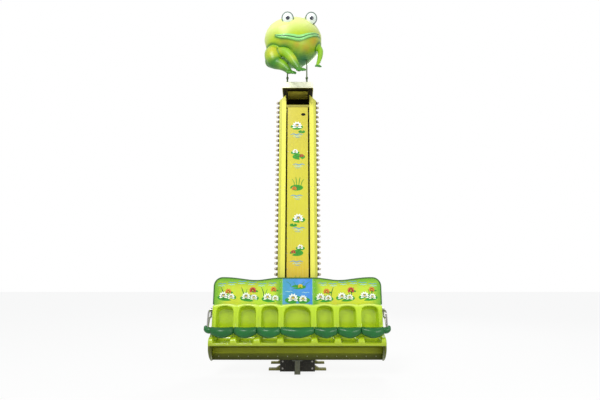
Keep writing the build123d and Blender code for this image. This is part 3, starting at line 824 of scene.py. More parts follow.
class RIDE_OT_lamps(bpy.types.Operator):
    """Fits a rail of capped lamps to the outer side of each column"""
    bl_idname = "ride.lamps"
    bl_label = "Lamps"

    def execute(self, context):
        rail_paint = painted("Lamp rail paint", colours().column, 0.03, 0.08, 0.04, 0.3)
        finishes = (
            painted("Lamp socket plastic", paint(96, 88, 70), 0.08, 0.05, 0.15, 0.4),
            painted("Lamp cap plastic", paint(196, 184, 160), 0.06, 0.02, 0.05, 0.16, 0.6),
        )
        pitch = sizes().lamp_pitch
        for side, label in ((-1, "left"), (1, "right")):
            node_name = f"lamp_rail_{label}"
            low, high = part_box(node_name)
            inner = high.x if side < 0 else low.x
            count = round((high.z - low.z) / pitch)
            first_z = low.z + (high.z - low.z - (count - 1) * pitch) / 2
            start = (inner + side * RAIL_THICKNESS, (low.y + high.y) / 2, first_z)
            meshes = [rail_mesh(side, inner, low, high)]
            meshes[0].materials.append(rail_paint)
            for profile, finish in zip((SOCKET_PROFILE, BULB_PROFILE), finishes):
                part = linked("lamp_part", turned_profile(profile, 20).mesh("lamp_part"))
                turn = (0, 0, 0 if side > 0 else math.pi)
                meshes.append(row_of(part, count, start, (0, 0, pitch), turn, finish))
                bpy.data.objects.remove(part)
            finish_joined(f"lamps_{label}", meshes, "tower", (node_name,))
        return {"FINISHED"}


def rail_mesh(side, inner, low, high):
    """A flat rail with bevelled edges along a column."""
    half, middle = (high.y - low.y) / 2, (low.y + high.y) / 2
    shoulder, face = inner + side * RAIL_THICKNESS * 0.7, inner + side * RAIL_THICKNESS
    corners = [
        (inner, -half), (shoulder, -half), (face, -half * 0.8), (face, half * 0.8), (shoulder, half),
        (inner, half),
    ]
    if side < 0:
        corners.reverse()
    skin = Skin()
    skin.loft([[(x, middle + y, z) for x, y in corners] for z in (low.z, high.z)])
    return skin.mesh("rail_work")


# Figure. All its places are in its own frame: facing -Y, upright, from the middle of its body
FIGURE_CENTRE = Vector((-0.09, -0.11, 5.855))
FIGURE_WIDTH = 0.548
FIGURE_DEPTH = 0.472
# How high the body reaches above and below its middle
HEAD_HEIGHT = 0.330
BELLY_HEIGHT = 0.530
EYE_PLACES = ((-0.204, -0.380, 0.148), (0.243, -0.396, 0.186))
EYE_LOOKS = ((0.06, -0.86, -0.50), (0.10, -0.84, -0.52))
EYE_RADIUS = 0.104
EYE_RIM_RADIUS = 0.0125
PUPIL_RADII = (0.036, 0.033, 0.012)
# Shares of an eye's radius: rim forward of its middle and out from its axis, pupil forward
RIM_FORWARD, RIM_REACH, PUPIL_FORWARD = 0.34, 0.935, 0.955
# The swelling round an eye: its radii, and its middle as a share of the eye's X and off its Y and Z
BROW_RADII = (0.110, 0.120, 0.096)
BROW_SHARE, BROW_BACK, BROW_UP = 0.97, 0.075, 0.004
DIGIT_ARCH = 0.006
# The lips: radius at the corners, what the middle adds to it, radius of the line between them
LIP_CORNER, LIP_FULLNESS, LIP_LINE = 0.005, 0.020, 0.013
# The body's sections: share of the height above or below its middle, share of its width
BODY_RINGS = [
    (-1.00, 0.10), (-0.96, 0.31), (-0.86, 0.52), (-0.66, 0.755), (-0.36, 0.955), (0.00, 1.00),
    (0.32, 0.945), (0.58, 0.84), (0.80, 0.64), (0.93, 0.43), (1.00, 0.10),
]
# Stations along each limb: place and radius
THIGH_NEAR = [
    (-0.440, 0.156, -0.270, 0.080), (-0.440, 0.030, -0.330, 0.128), (-0.462, -0.085, -0.400, 0.152),
    (-0.474, -0.140, -0.480, 0.155), (-0.474, -0.165, -0.560, 0.138),
]
SHIN_NEAR = [
    (-0.515, -0.080, -0.540, 0.104), (-0.450, -0.170, -0.612, 0.108), (-0.380, -0.250, -0.692, 0.090),
    (-0.330, -0.315, -0.780, 0.070), (-0.290, -0.368, -0.870, 0.052),
]
FOREARM_NEAR = [
    (-0.350, -0.250, -0.440, 0.086), (-0.290, -0.345, -0.515, 0.086), (-0.240, -0.415, -0.640, 0.077),
    (-0.208, -0.466, -0.760, 0.067), (-0.179, -0.502, -0.855, 0.056), (-0.163, -0.518, -0.905, 0.047),
]
THIGH_FAR = [
    (0.290, 0.300, -0.060, 0.080), (0.305, 0.325, -0.150, 0.115), (0.275, 0.330, -0.240, 0.104),
]
SHIN_FAR = [
    (0.250, 0.340, -0.250, 0.080), (0.180, 0.350, -0.295, 0.062), (0.110, 0.340, -0.330, 0.046),
]
FOREARM_FAR = [
    (0.405, -0.215, -0.270, 0.055), (0.405, -0.260, -0.375, 0.054), (0.362, -0.308, -0.515, 0.046),
    (0.308, -0.335, -0.635, 0.037), (0.275, -0.347, -0.695, 0.030),
]
LIMBS = (THIGH_NEAR, SHIN_NEAR, FOREARM_NEAR, THIGH_FAR, SHIN_FAR, FOREARM_FAR)
# Fingers and toes: the root that they fan out from, their tips and their radius
DIGITS = (
    ((-0.290, -0.368, -0.865), 0.023, (
        (-0.352, -0.440, -0.935), (-0.308, -0.462, -0.952),
        (-0.260, -0.466, -0.955), (-0.214, -0.448, -0.946),
    )),
    ((-0.165, -0.515, -0.890), 0.022, (
        (-0.216, -0.568, -0.950), (-0.171, -0.586, -0.964),
        (-0.122, -0.586, -0.960), (-0.076, -0.566, -0.944),
    )),
    ((0.275, -0.345, -0.690), 0.016, (
        (0.222, -0.365, -0.742), (0.255, -0.385, -0.755),
        (0.290, -0.385, -0.757), (0.324, -0.365, -0.745),
    )),
    ((0.110, 0.342, -0.330), 0.018, (
        (0.050, 0.350, -0.345), (0.062, 0.348, -0.372), (0.094, 0.345, -0.386),
    )),
)
# The line between the lips, seen from the front
MOUTH = [
    (-0.440, -0.120), (-0.360, -0.172), (-0.262, -0.198), (-0.163, -0.222), (-0.069, -0.240),
    (0.020, -0.226), (0.130, -0.182), (0.262, -0.128), (0.390, -0.080),
]
# Soft spots of colour on the figure's skin: where, how wide, how strong
WARM_SPOTS = [
    ((-0.300, -0.322, -0.285), 0.085, 0.60), ((0.255, -0.355, -0.235), 0.105, 0.90),
    ((0.110, -0.320, -0.375), 0.095, 0.75), ((-0.080, -0.350, -0.330), 0.060, 0.75),
]
# Painted shadow of the limbs and body on the lower belly.
BELLY_SHADE_SPOTS = [((0.100, -0.130, -0.500), 0.12, 1.0), ((-0.330, -0.300, -0.400), 0.11, 0.9)]
# The last two green spots are painted shadow of the near limbs on the belly; the first two are the figure's
# own green.
GREEN_SPOTS = [
    ((0.390, -0.190, -0.310), 0.13, 0.85), ((0.270, -0.130, -0.440), 0.14, 0.9),
    ((-0.250, -0.300, -0.450), 0.12, 1.0), ((-0.100, -0.240, -0.500), 0.12, 1.0),
]
LIMB_WARM_SPOTS = [((-0.500, -0.220, -0.440), 0.12, 1.0), ((-0.215, -0.500, -0.690), 0.07, 0.6)]


class RIDE_OT_figure(bpy.types.Operator):
    """Models the frog figure on top: skin, lips and eyes, and paints the posts it stands on"""
    bl_idname = "ride.figure"
    bl_label = "Figure"

    def execute(self, context):
        tint = colours()
        body = figure_body(tint)
        figure_lips(body, tint)
        figure_eyes(tint)
        dress(painted("Figure post paint", paint(70, 92, 44), 0.1, 0.1, 0.1, 0.4), "frog_posts")
        return {"FINISHED"}


def figure_turn():
    """Turns the figure's own frame to how it sits on the ride."""
    return Matrix.Rotation(math.radians(18.0), 3, "Z") @ Matrix.Rotation(math.radians(-7.0), 3, "Y")


def on_figure(point):
    """Where a point of the figure's own frame is on the ride."""
    return FIGURE_CENTRE + figure_turn() @ Vector(point)


def body_ring(height):
    """A section of the body at a share of its height."""
    reach = HEAD_HEIGHT if height > 0 else BELLY_HEIGHT
    share = float(np.interp(height, *zip(*BODY_RINGS)))
    wide, deep = share * FIGURE_WIDTH, share * FIGURE_DEPTH
    return [on_figure((wide * math.cos(a), deep * math.sin(a), height * reach)) for a in circle(64)]


def figure_digit(skin, root, tip, radius):
    """A finger or toe that arches a little and ends in a small round pad."""
    middle = [(a + b) / 2 for a, b in zip(root, tip)]
    middle[2] += DIGIT_ARCH
    path = smooth_path([root, middle, tip], 5)
    shares = np.linspace(0, 1, len(path))
    radii = np.interp(shares, [0, 0.6, 1], [radius * 1.1, radius * 0.85, radius * 1.1])
    skin.limb(np.column_stack([path, radii]), 14, on_figure)


def figure_body(tint):
    """Body, brows, limbs and digits, joined into one skin by remeshing."""
    skin = Skin()
    skin.loft([body_ring(math.sin(a)) for a in np.linspace(-math.pi / 2, math.pi / 2, 33)])
    for x, y, z in EYE_PLACES:
        brow = (x * BROW_SHARE, y + BROW_BACK, z + BROW_UP)
        skin.ball(on_figure(brow), BROW_RADII, figure_turn())
    for stations in LIMBS:
        skin.limb(smooth_path(stations, 6), 24, on_figure)
    for root, radius, tips in DIGITS:
        for tip in tips:
            figure_digit(skin, root, tip, radius)
    work = linked("figure_work", skin.mesh("figure_raw"))
    remesh(work, sizes().figure_voxel)
    smooth = work.modifiers.new("Smooth", "SMOOTH")
    smooth.factor = 0.5
    smooth.iterations = 4
    mesh = evaluated(work)
    bpy.data.objects.remove(work)
    mark_figure(mesh)
    parts = ("frog_body", "frog_legs", "frog_arms")
    return finish_piece("frog_skin", mesh, "tower", [figure_paint(tint)], replaces=parts)


def distance_to_path(points, path):
    """How far each point is from a line of stations (x, y, z, radius), less the radius there."""
    best = np.full(len(points), 9.0)
    for first, last in zip(path[:-1], path[1:]):
        a, b = np.array(first[:3]), np.array(last[:3])
        along = b - a
        t = np.clip(((points - a) @ along) / max(along @ along, 1e-9), 0, 1)
        radius = first[3] + (last[3] - first[3]) * t
        best = np.minimum(best, np.linalg.norm(points - (a + t[:, None] * along), axis=1) - radius)
    return best


def spot_mask(points, spots):
    """How strongly soft round spots colour each point."""
    total = np.zeros(len(points))
    for place, width, strength in spots:
        away = np.sum((points - np.array(place)) ** 2, axis=1)
        total = np.maximum(total, strength * np.exp(-away / (2 * (width * 0.8) ** 2)))
    return total


def mark_figure(mesh):
    """Writes masks for the figure's paint: how light, warm and green it is, and where shade is painted on
    it.
    """
    points = (mesh_points(mesh) - np.array(FIGURE_CENTRE)) @ np.array(figure_turn())
    x, y, z = points.T
    near = np.sort([distance_to_path(points, smooth_path(stations, 4)) for stations in LIMBS], axis=0)
    on_limb = 1 - smooth_step(near[0], 0.010, 0.026)
    off_limb = 1 - on_limb
    # Painted shade in creases: between two limbs, round each limb where it meets the body, and under the
    # lips.
    between = (1 - smooth_step(near[1], 0.004, 0.035)) * on_limb
    fold_shade = (1 - smooth_step(near[0], 0.018, 0.085)) * off_limb
    below = np.interp(x, *smooth_path(MOUTH, 6).T) - z
    front = smooth_step(-y, 0.10, 0.24) * (1 - smooth_step(np.abs(x), 0.42, 0.47))
    under_lip_shade = smooth_step(below, 0.000, 0.02) * (1 - smooth_step(below, 0.030, 0.075)) * front
    bare = off_limb * (1 - 0.7 * under_lip_shade)
    # Painted shade on the limbs: on the feet, the lower shins and the far side.
    feet = 1 - smooth_step(z, -0.86, -0.66)
    shin = smooth_step(-x, 0.36, 0.48) * (1 - smooth_step(z, -0.66, -0.50))
    far_side = smooth_step(y, -0.05, 0.25) * 0.6
    # Painted shade on the lower belly.
    belly_low_shade = off_limb * (1 - smooth_step(z, -0.52, -0.34))
    for name, values in {
        "light": smooth_step(z, -0.20, 0.10) * off_limb,
        "fold_shade": np.maximum.reduce([fold_shade, under_lip_shade * 0.95, between * 0.75]),
        "warm": spot_mask(points, WARM_SPOTS) * bare,
        "green": np.maximum(spot_mask(points, GREEN_SPOTS) * bare, belly_low_shade),
        "belly_shade": spot_mask(points, BELLY_SHADE_SPOTS) * off_limb,
        "limb": on_limb,
        "limb_warm": spot_mask(points, LIMB_WARM_SPOTS) * on_limb,
        "limb_shade": np.maximum.reduce([feet, shin, far_side]) * on_limb,
    }.items():
        set_attribute(mesh, name, np.clip(values, 0, 1))


def figure_paint(tint):
    """Airbrushed gloss: pale above, yellow-green below the mouth, orange bloom, and painted shade in deep
    green in the folds.
    """
    made = Finish("Figure paint with shade", tint.figure_mid)
    # The masks of the folds, the belly and the lower limbs lay painted shade, and the green mask partly so;
    # the rest is the figure's own airbrush.
    for over, mask, unevenness, scale in (
        (tint.figure_light, "light", 0.15, 4.0), (tint.figure_warm, "warm", 0.35, 9.0),
        (paint(64, 136, 14), "green", 0.30, 8.0), (paint(20, 104, 48), "belly_shade", 0.35, 8.0),
        (paint(134, 184, 18), "limb", 0.20, 9.0), (paint(196, 190, 26), "limb_warm", 0.35, 9.0),
        (paint(70, 128, 6), "limb_shade", 0.40, 9.0), (tint.figure_fold_shade, "fold_shade", 0.25, 10.0),
    ):
        made.spray(over, made.marked(mask), unevenness, scale)
    return made.lacquer(0.05, 0.02, 0.03, 0.42, 0.15, {COAT: 0.12, COAT_ROUGHNESS: 0.30})


def figure_lips(body, tint):
    """Two full lips that follow the skin, with a dark line between them."""
    tree = bvh_of(body.data)
    path = smooth_path(MOUTH, 10)
    fullness = [math.sin(math.pi * i / (len(path) - 1)) ** 0.45 for i in range(len(path))]
    radii = [LIP_CORNER + LIP_FULLNESS * full for full in fullness]
    line_radii = [LIP_LINE * min(1.0, r / LIP_FULLNESS) for r in radii]
    skin = Skin()
    for lift, depth, widths, sides, mark in (
        (0.020, 0.002, radii, 18, 0), (-0.021, 0.002, [r * 1.10 for r in radii], 18, 0),
        (-0.001, -0.006, line_radii, 10, 1),
    ):
        line = []
        for (x, z), full in zip(path, fullness):
            start = on_figure((x, -1.2, z + lift * full))
            aim = on_figure((x, 0.0, z + lift * full)) - start
            spot, normal = first_hit(tree, start, aim.normalized(), "the mouth")
            line.append(spot - normal * depth)
        skin.tube(line, widths, sides, mark, rounded=True)
    lip_paint = painted("Lip paint", tint.lips, 0.10, 0.0, 0.02, 0.26, 0.4)
    dark = painted("Mouth line paint", paint(10, 46, 22), 0.1, 0.0, 0.0, 0.35)
    skin.build("frog_lips", "tower", "frog_green", [lip_paint, dark])


def figure_eyes(tint):
    """Pale eyeballs that look forward and down, each with a dark rim round it and an oval pupil."""
    white = painted("Eye gloss", tint.eye, 0.03, 0.0, 0.0, 0.10, 0.9, bump=0.02)
    rim = painted("Eye rim paint", paint(74, 100, 84), 0.10, 0.0, 0.03, 0.28, 0.3)
    pupil = painted("Pupil gloss", paint(30, 34, 56), 0.05, 0.0, 0.0, 0.08, 0.9, bump=0.0)
    balls, rims, pupils = Skin(), Skin(), Skin()
    for spot, way in zip(EYE_PLACES, EYE_LOOKS):
        centre = on_figure(spot)
        balls.ball(centre, (EYE_RADIUS,) * 3, figure_turn(), 48, 24)
        look = Vector(way).normalized()
        across = look.cross(Vector((0, 0, 1))).normalized()
        up = across.cross(look)
        middle = centre + look * EYE_RADIUS * RIM_FORWARD
        angles = circle(56) + [2 * math.pi]
        loop = [
            middle + (across * math.cos(a) + up * math.sin(a)) * EYE_RADIUS * RIM_REACH for a in angles
        ]
        rims.tube(loop, [EYE_RIM_RADIUS] * len(loop), 12)
        basis = Matrix((across, up, look)).transposed()
        pupils.ball(centre + look * EYE_RADIUS * PUPIL_FORWARD, PUPIL_RADII, basis, 32, 12)
    balls.build("frog_eyeballs", "tower", "frog_eye", [white], replaces=("frog_eyes",))
    rims.build("frog_eye_rims", "tower", "frog_green", [rim])
    pupils.build("frog_pupils", "tower", "frog_eye", [pupil])


# Bench. Its lines are (Y, Z) pairs seen from the side
SEAT_LEDGE = 1.020
SEAT_CREST = 1.038
NICHE_CROWN = 1.005
ARCH_SHARE = 0.55
BENCH_BACK = -0.302
BENCH_FLOOR = 0.455
RIB_HALF = 0.050
NICHE_EDGE = 0.024
# The rounding of a cheek's outer edge: share of its thickness, how far its outline has moved in
CHEEK_EDGE = ((0.0, 0.0), (0.35, 0.0), (0.6, 0.0006), (0.8, 0.0022), (0.93, 0.005), (1.0, 0.009))


class RIDE_OT_bench(bpy.types.Operator):
    """Moulds the seven seats with their arched niches and the end cheeks, and paints the skirt"""
    bl_idname = "ride.bench"
    bl_label = "Bench"

    def execute(self, context):
        finish = seat_gelcoat()
        for number in range(1, SEAT_COUNT + 1):
            mould_seat(number, finish)
        for side, label in ((-1, "left"), (1, "right")):
            mould_cheek(side, label, finish)
        dress(skirt_paint(), "skirt_panel")
        return {"FINISHED"}


def resample(points, count):
    """Points spaced evenly along a line."""
    given = np.array(points, float)
    lengths = np.concatenate([[0], np.cumsum(np.linalg.norm(np.diff(given, axis=0), axis=1))])
    places = np.linspace(0, lengths[-1], count)
    return np.stack([np.interp(places, lengths, given[:, i]) for i in range(given.shape[1])], axis=1)


def ledge_line(top):
    """The bench's upper edge seen from the side: level ledge and rounded front."""
    return resample([
        (BENCH_BACK, top), (-0.36, top), (-0.415, top), (-0.436, top - 0.002), (-0.447, top - 0.008),
        (-0.453, top - 0.018),
    ], 9)


def rib_line(top):
    """The front of a rib between two niches, down to where its bolster starts."""
    return resample(smooth_path([
        (-0.453, top - 0.018), (-0.4555, top - 0.06), (-0.458, 0.90), (-0.462, 0.79), (-0.470, 0.72),
        (-0.486, 0.665), (-0.506, 0.632),
    ], 6), 22)


def niche_line(top, crown):
    """The lip, soffit and back of a niche, down to the pan."""
    return resample(smooth_path([
        (-0.453, top - 0.018), (-0.4515, crown + 0.008), (-0.436, crown), (-0.385, crown - 0.008),
        (-0.345, crown - 0.03), (-0.331, crown - 0.08), (-0.3275, 0.78), (-0.3275, 0.66), (-0.330, 0.57),
        (-0.340, 0.522), (-0.362, 0.503),
    ], 6), 22)


def bolster_line():
    """The top of a bolster, forward from the foot of its rib."""
    return resample(smooth_path([
        (-0.506, 0.632), (-0.540, 0.602), (-0.585, 0.582), (-0.620, 0.568),
    ], 6), 10)


def pan_line():
    """The pan of a seat, forward from the foot of its back."""
    return resample([
        (-0.362, 0.503), (-0.40, 0.4975), (-0.50, 0.499), (-0.58, 0.503), (-0.620, 0.503),
    ], 10)


def nose_line(upper):
    """The rounded front edge, from the pan or a bolster down to the underside."""
    if upper:
        shape = [(-0.620, 0.568), (-0.644, 0.552), (-0.657, 0.527), (-0.661, 0.497), (-0.657, 0.470)]
    else:
        shape = [(-0.620, 0.503), (-0.640, 0.500), (-0.652, 0.492), (-0.657, 0.480), (-0.656, 0.467)]
    return resample(smooth_path(shape + [(-0.650, BENCH_FLOOR)], 5), 12)


def rib_section(top):
    """The whole front of the bench through a rib, from its back edge to its underside."""
    return np.vstack([ledge_line(top), rib_line(top)[1:], bolster_line()[1:], nose_line(True)[1:]])


def niche_section(top, crown):
    """The whole front of the bench through a niche."""
    return np.vstack([ledge_line(top), niche_line(top, crown)[1:], pan_line()[1:], nose_line(False)[1:]])


def mould_shell(name, node_name, rings, deep, finish):
    """A bench shell lofted through rings, with the mask of the painted shade in its niches."""
    skin = Skin()
    skin.loft(rings)
    built = skin.build(name, "car", "seat_lime", [finish], replaces=(node_name,))
    set_attribute(built.data, "deep", deep)


def mould_seat(number, finish):
    """One seat: sections across its width that turn from a rib to a niche and back."""
    low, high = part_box(f"seat_{number}")
    centre, half = (low.x + high.x) / 2, (high.x - low.x) / 2
    wall = half - RIB_HALF
    inner, outer = wall - NICHE_EDGE / 2, wall + NICHE_EDGE / 2
    columns = np.unique(np.round(np.concatenate([
        np.linspace(0, inner, 22), np.linspace(inner, outer, 9), np.linspace(outer, half, 8),
    ]), 6))
    rings, deep = [], []
    for x in np.concatenate([-columns[:0:-1], columns]):
        share = float(smooth_step(outer - abs(x), 0, NICHE_EDGE))
        top = SEAT_LEDGE + (SEAT_CREST - SEAT_LEDGE) * (1 - (x / half) ** 2)
        inside = min(abs(x) / wall, 1.0)
        crown = NICHE_CROWN - wall * ARCH_SHARE * (1 - math.sqrt(max(1 - inside ** 2.4, 0)))
        rib = rib_section(top)
        line = rib + (niche_section(top, crown) - rib) * share
        rings.append([(centre + x, y, z) for y, z in line] + [(centre + x, BENCH_BACK, BENCH_FLOOR)])
        # How far into its niche each point lies: the mask of the niche's painted shade.
        deep.extend([*(np.clip((line[:, 0] + 0.455) / 0.12, 0, 1) * share), 0.0])
    mould_shell(f"seat_shell_{number}", f"seat_{number}", rings, deep, finish)


def cheek_outline():
    """The bench's end seen from the side, round all its edges."""
    foot = 0.210
    under = [(-0.650, BENCH_FLOOR), (-0.632, 0.38), (-0.56, 0.290), (-0.48, 0.235), (-0.42, foot)]
    return np.vstack([rib_section(SEAT_LEDGE), smooth_path(under, 6)[1:], [(BENCH_BACK, foot)]])


def inset_line(outline, distance):
    """A closed outline, listed clockwise, moved inwards for a rounded edge."""
    ways = []
    for way in (outline - np.roll(outline, 1, axis=0), np.roll(outline, -1, axis=0) - outline):
        ways.append(way / np.linalg.norm(way, axis=1)[:, None])
    way = ways[0] + ways[1]
    way /= np.maximum(np.linalg.norm(way, axis=1), 1e-6)[:, None]
    normal = np.stack([way[:, 1], -way[:, 0]], axis=1)
    y, z = outline.T
    area = np.sum(y * np.roll(z, -1) - np.roll(y, -1) * z)
    return outline - normal * distance * (1 if area > 0 else -1)


def mould_cheek(side, label, finish):
    """The flat end of the bench, rounded at its outer edge."""
    node_name = f"end_cheek_{label}"
    low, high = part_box(node_name)
    inner, outer = (low.x, high.x) if side > 0 else (high.x, low.x)
    outline = cheek_outline()
    rings = []
    for along, inset in CHEEK_EDGE:
        x = inner + (outer - inner) * along
        rings.append([(x, y, z) for y, z in inset_line(outline, inset)])
    plain = np.zeros(len(rings) * len(outline))
    mould_shell(f"cheek_shell_{label}", node_name, rings, plain, finish)


def seat_gelcoat():
    """Gloss gelcoat: bright on the ribs, with a painted highlight along the ledge, painted shade in the
    niches and under the pads, and the skirt's olive, duller, below.
    """
    tint = colours()
    made = Finish("Seat gelcoat with painted light", tint.seat)
    # Painted shade deep in the niches.
    made.spray(tint.seat_niche_shade, made.marked("deep"), 0.15, 6.0)
    # Painted highlight: paler along the lit top of the ledge and the niches' lips.
    made.spray(paint(218, 238, 112), made.along(UP, 0.985, 1.04), 0.2, 8.0)
    # Painted shade under the pads: darker olive on the bolsters and pans.
    made.spray(paint(158, 178, 18), made.along(UP, 0.62, 0.46), 0.3, 7.0)
    # The foot of the bench and of its cheeks takes the skirt's olive with its painted shade.
    skirted = made.along(UP, 0.462, 0.448)
    made.spray(tint.skirt, skirted, 0.1, 7.0)
    glossy = math_node(made.tree, "MULTIPLY_ADD", skirted, -0.38, 0.4)
    return made.lacquer(0.04, 0.03, 0.06, 0.24, 0.10, {COAT: glossy, COAT_ROUGHNESS: 0.12, SHINE: 0.35})


def skirt_paint():
    """Olive, darkened as painted shade under the seats, lighter in a band along its middle, with painted
    shade in the groove above, and darker at the foot.
    """
    made = Finish("Skirt paint with shade", colours().skirt)
    band = made.join("MULTIPLY", made.along(UP, 0.295, 0.318), made.along(UP, 0.412, 0.390))
    made.spray(paint(140, 148, 8), band, 0.2, 9.0)
    # Painted shade in the groove under the seats' front edge.
    made.spray(paint(52, 68, 6), made.along(UP, 0.405, 0.44), 0.3, 9.0)
    made.spray(paint(58, 62, 3), made.along(UP, 0.30, 0.215), 0.5, 6.0)
    return made.lacquer(0.12, 0.12, 0.08, 0.42, 0.15, {SHINE: 0.25})


# Padding
BAR_Y, BAR_Z = -0.612, 0.668
PAD_TOP, PAD_REAR = 0.725, -0.565
# Depth and height of a pad at its ends and in its middle
PAD_END = (0.106, 0.108)
PAD_MIDDLE = (0.162, 0.160)
# How far the cover stands inside its full size before it is blown up
PAD_INSET = 0.004
# Folds round a pad's ends: how many, how deep, and how far in from the end they reach
FOLD_COUNT = 13
FOLD_DEPTH = 0.0016
FOLD_REACH = 0.05
# Piping and seams: radius, how far in from a pad's ends, how deep in the vinyl
PIPING_RADIUS, PIPING_IN, PIPING_DROP = 0.0022, 0.020, 0.0006
SEAM_RADIUS, SEAM_IN, SEAM_DROP = 0.0017, 0.024, 0.0004
# Where the two seams run round a pad, in degrees from straight back
SEAM_TURNS = (-52.0, -138.0)


class RIDE_OT_padding(bpy.types.Operator):
    """Swells and sews the seven pads of the lap bar and moulds its green ends"""
    bl_idname = "ride.padding"
    bl_label = "Padding"

    def execute(self, context):
        skin_vinyl = vinyl("Pad vinyl", colours().pad)
        seam_vinyl = vinyl("Seam vinyl", paint(6, 72, 28))
        for number in range(1, SEAT_COUNT + 1):
            low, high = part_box(f"lap_pad_{number}")
            pad = sew_pad(number, low.x, high.x, skin_vinyl)
            pad_seams(number, pad, low.x, high.x, seam_vinyl)
        mould_bar_ends(skin_vinyl)
        return {"FINISHED"}


def pad_rings(left, right):
    """Sections of one lobe: level on top and behind, fuller below and in front in its middle."""
    def rounded(value):
        return math.copysign(abs(value) ** 0.90, value)

    rings = []
    centre, half = (left + right) / 2, (right - left) / 2 - PAD_INSET * 0.3
    for t in np.linspace(-1, 1, 33):
        bulge = math.cos(math.pi / 2 * t)
        edge = (1 - abs(t) ** 12) ** 0.5 if abs(t) < 1 else 0.0
        pinch = 0.965 + 0.035 * edge
        full_depth, full_height = (end + (most - end) * bulge for end, most in zip(PAD_END, PAD_MIDDLE))
        depth = (full_depth / 2 - PAD_INSET) * pinch
        height = (full_height / 2 - PAD_INSET) * pinch
        y, z = PAD_REAR - full_depth / 2, PAD_TOP - full_height / 2 - 0.005 * bulge
        rings.append([
            (centre + t * half, y + depth * rounded(math.cos(a)), z + height * rounded(math.sin(a)))
            for a in circle(40)
        ])
    return rings


def swell(name, mesh):
    """Blows a pad up a little with a cloth simulation and returns its new mesh."""
    settings = sizes()
    work = linked(name + "_work", mesh)
    even_size = remesh(work, settings.pad_voxel)
    even = evaluated(work)
    work.modifiers.remove(even_size)
    work.data = even
    rest = mesh_points(even)
    cloth = work.modifiers.new("Cloth", "CLOTH")
    cloth.settings.use_pressure = True
    cloth.settings.uniform_pressure_force = settings.pad_pressure
    cloth.settings.effector_weights.gravity = 0
    cloth.point_cache.frame_start = 1
    cloth.point_cache.frame_end = settings.pad_frames
    scene = bpy.context.scene
    for number in range(1, settings.pad_frames + 1):
        scene.frame_set(number)
    blown = evaluated(work)
    moved = mesh_points(blown) - rest
    length = np.linalg.norm(moved, axis=1)
    rest += moved * np.minimum(1, settings.pad_swell / np.maximum(length, 1e-9))[:, None]
    bpy.data.meshes.remove(blown)
    work.modifiers.remove(cloth)
    scene.frame_set(1)
    even.vertices.foreach_set("co", rest.ravel())
    subdivide = work.modifiers.new("Subdivision", "SUBSURF")
    subdivide.levels = subdivide.render_levels = 1
    result = evaluated(work)
    bpy.data.objects.remove(work)
    return result


def sew_pad(number, left, right, material):
    """One pad: blown up and gathered at its ends."""
    name = f"pad_{number}"
    skin = Skin()
    skin.loft(pad_rings(left, right))
    mesh = swell(name, skin.mesh("pad_raw"))
    crease_pad(mesh, left, right)
    built = finish_piece(name, mesh, "lap_bar", [material], replaces=(f"lap_pad_{number}",))
    return built


def crease_pad(mesh, left, right):
    """Gathers the vinyl towards the pad's ends in soft folds."""
    points = mesh_points(mesh)
    x, y, z = points.T
    near = np.maximum(0, 1 - np.minimum(x - left, right - x) / FOLD_REACH)
    angle = np.arctan2(z - BAR_Z, y - BAR_Y)
    ripple = np.sin(angle * FOLD_COUNT + left * 37.0) * FOLD_DEPTH * near
    outward = np.stack([np.zeros(len(points)), np.cos(angle), np.sin(angle)], axis=1)
    mesh.vertices.foreach_set("co", (points + outward * ripple[:, None]).ravel())


def pad_seams(number, pad, left, right, material):
    """Piping round both ends of a pad and two welted seams along its underside and front."""
    tree = bvh_of(pad.data)
    skin = Skin()

    def sew(stitches, drop, radius):
        """One cord through (x, angle, distance of its middle in and down from the pad's rear top edge)."""
        line = []
        for x, angle, inward, down in stitches:
            way = Vector((0, math.cos(angle), math.sin(angle)))
            middle = Vector((x, PAD_REAR - inward, PAD_TOP - down))
            spot, _ = first_hit(tree, middle + way * 0.2, -way, f"the seams of pad {number}")
            line.append(spot - way * drop)
        skin.tube(line, [radius] * len(line), 8)

    angles = circle(48) + [2 * math.pi]
    for x in (left + PIPING_IN, right - PIPING_IN):
        sew([(x, angle, 0.05, 0.048) for angle in angles], PIPING_DROP, PIPING_RADIUS)
    for turn in SEAM_TURNS:
        along = np.linspace(left + SEAM_IN, right - SEAM_IN, 40)
        sew([(x, math.radians(turn), 0.055, 0.058) for x in along], SEAM_DROP, SEAM_RADIUS)
    skin.build(f"pad_piping_{number}", "lap_bar", "pad_green", [material])


def mould_bar_ends(material):
    """Green boots where the bar meets its arms, turned up at the outer end."""
    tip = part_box("lap_end_caps")[1].x - 0.026
    skin = Skin()
    for side in (-1, 1):
        skin.limb(smooth_path([
            (side * x, BAR_Y + back, BAR_Z + rise, radius) for x, back, rise, radius in (
                (1.287, 0.0, 0.002, 0.045), (1.305, 0.0, 0.003, 0.047), (1.330, 0.003, 0.009, 0.045),
                (1.350, 0.005, 0.024, 0.039), (tip, 0.006, 0.044, 0.028),
            )
        ], 5), 28)
    skin.build("lap_bar_boots", "lap_bar", "pad_green", [material], replaces=("lap_end_caps",))


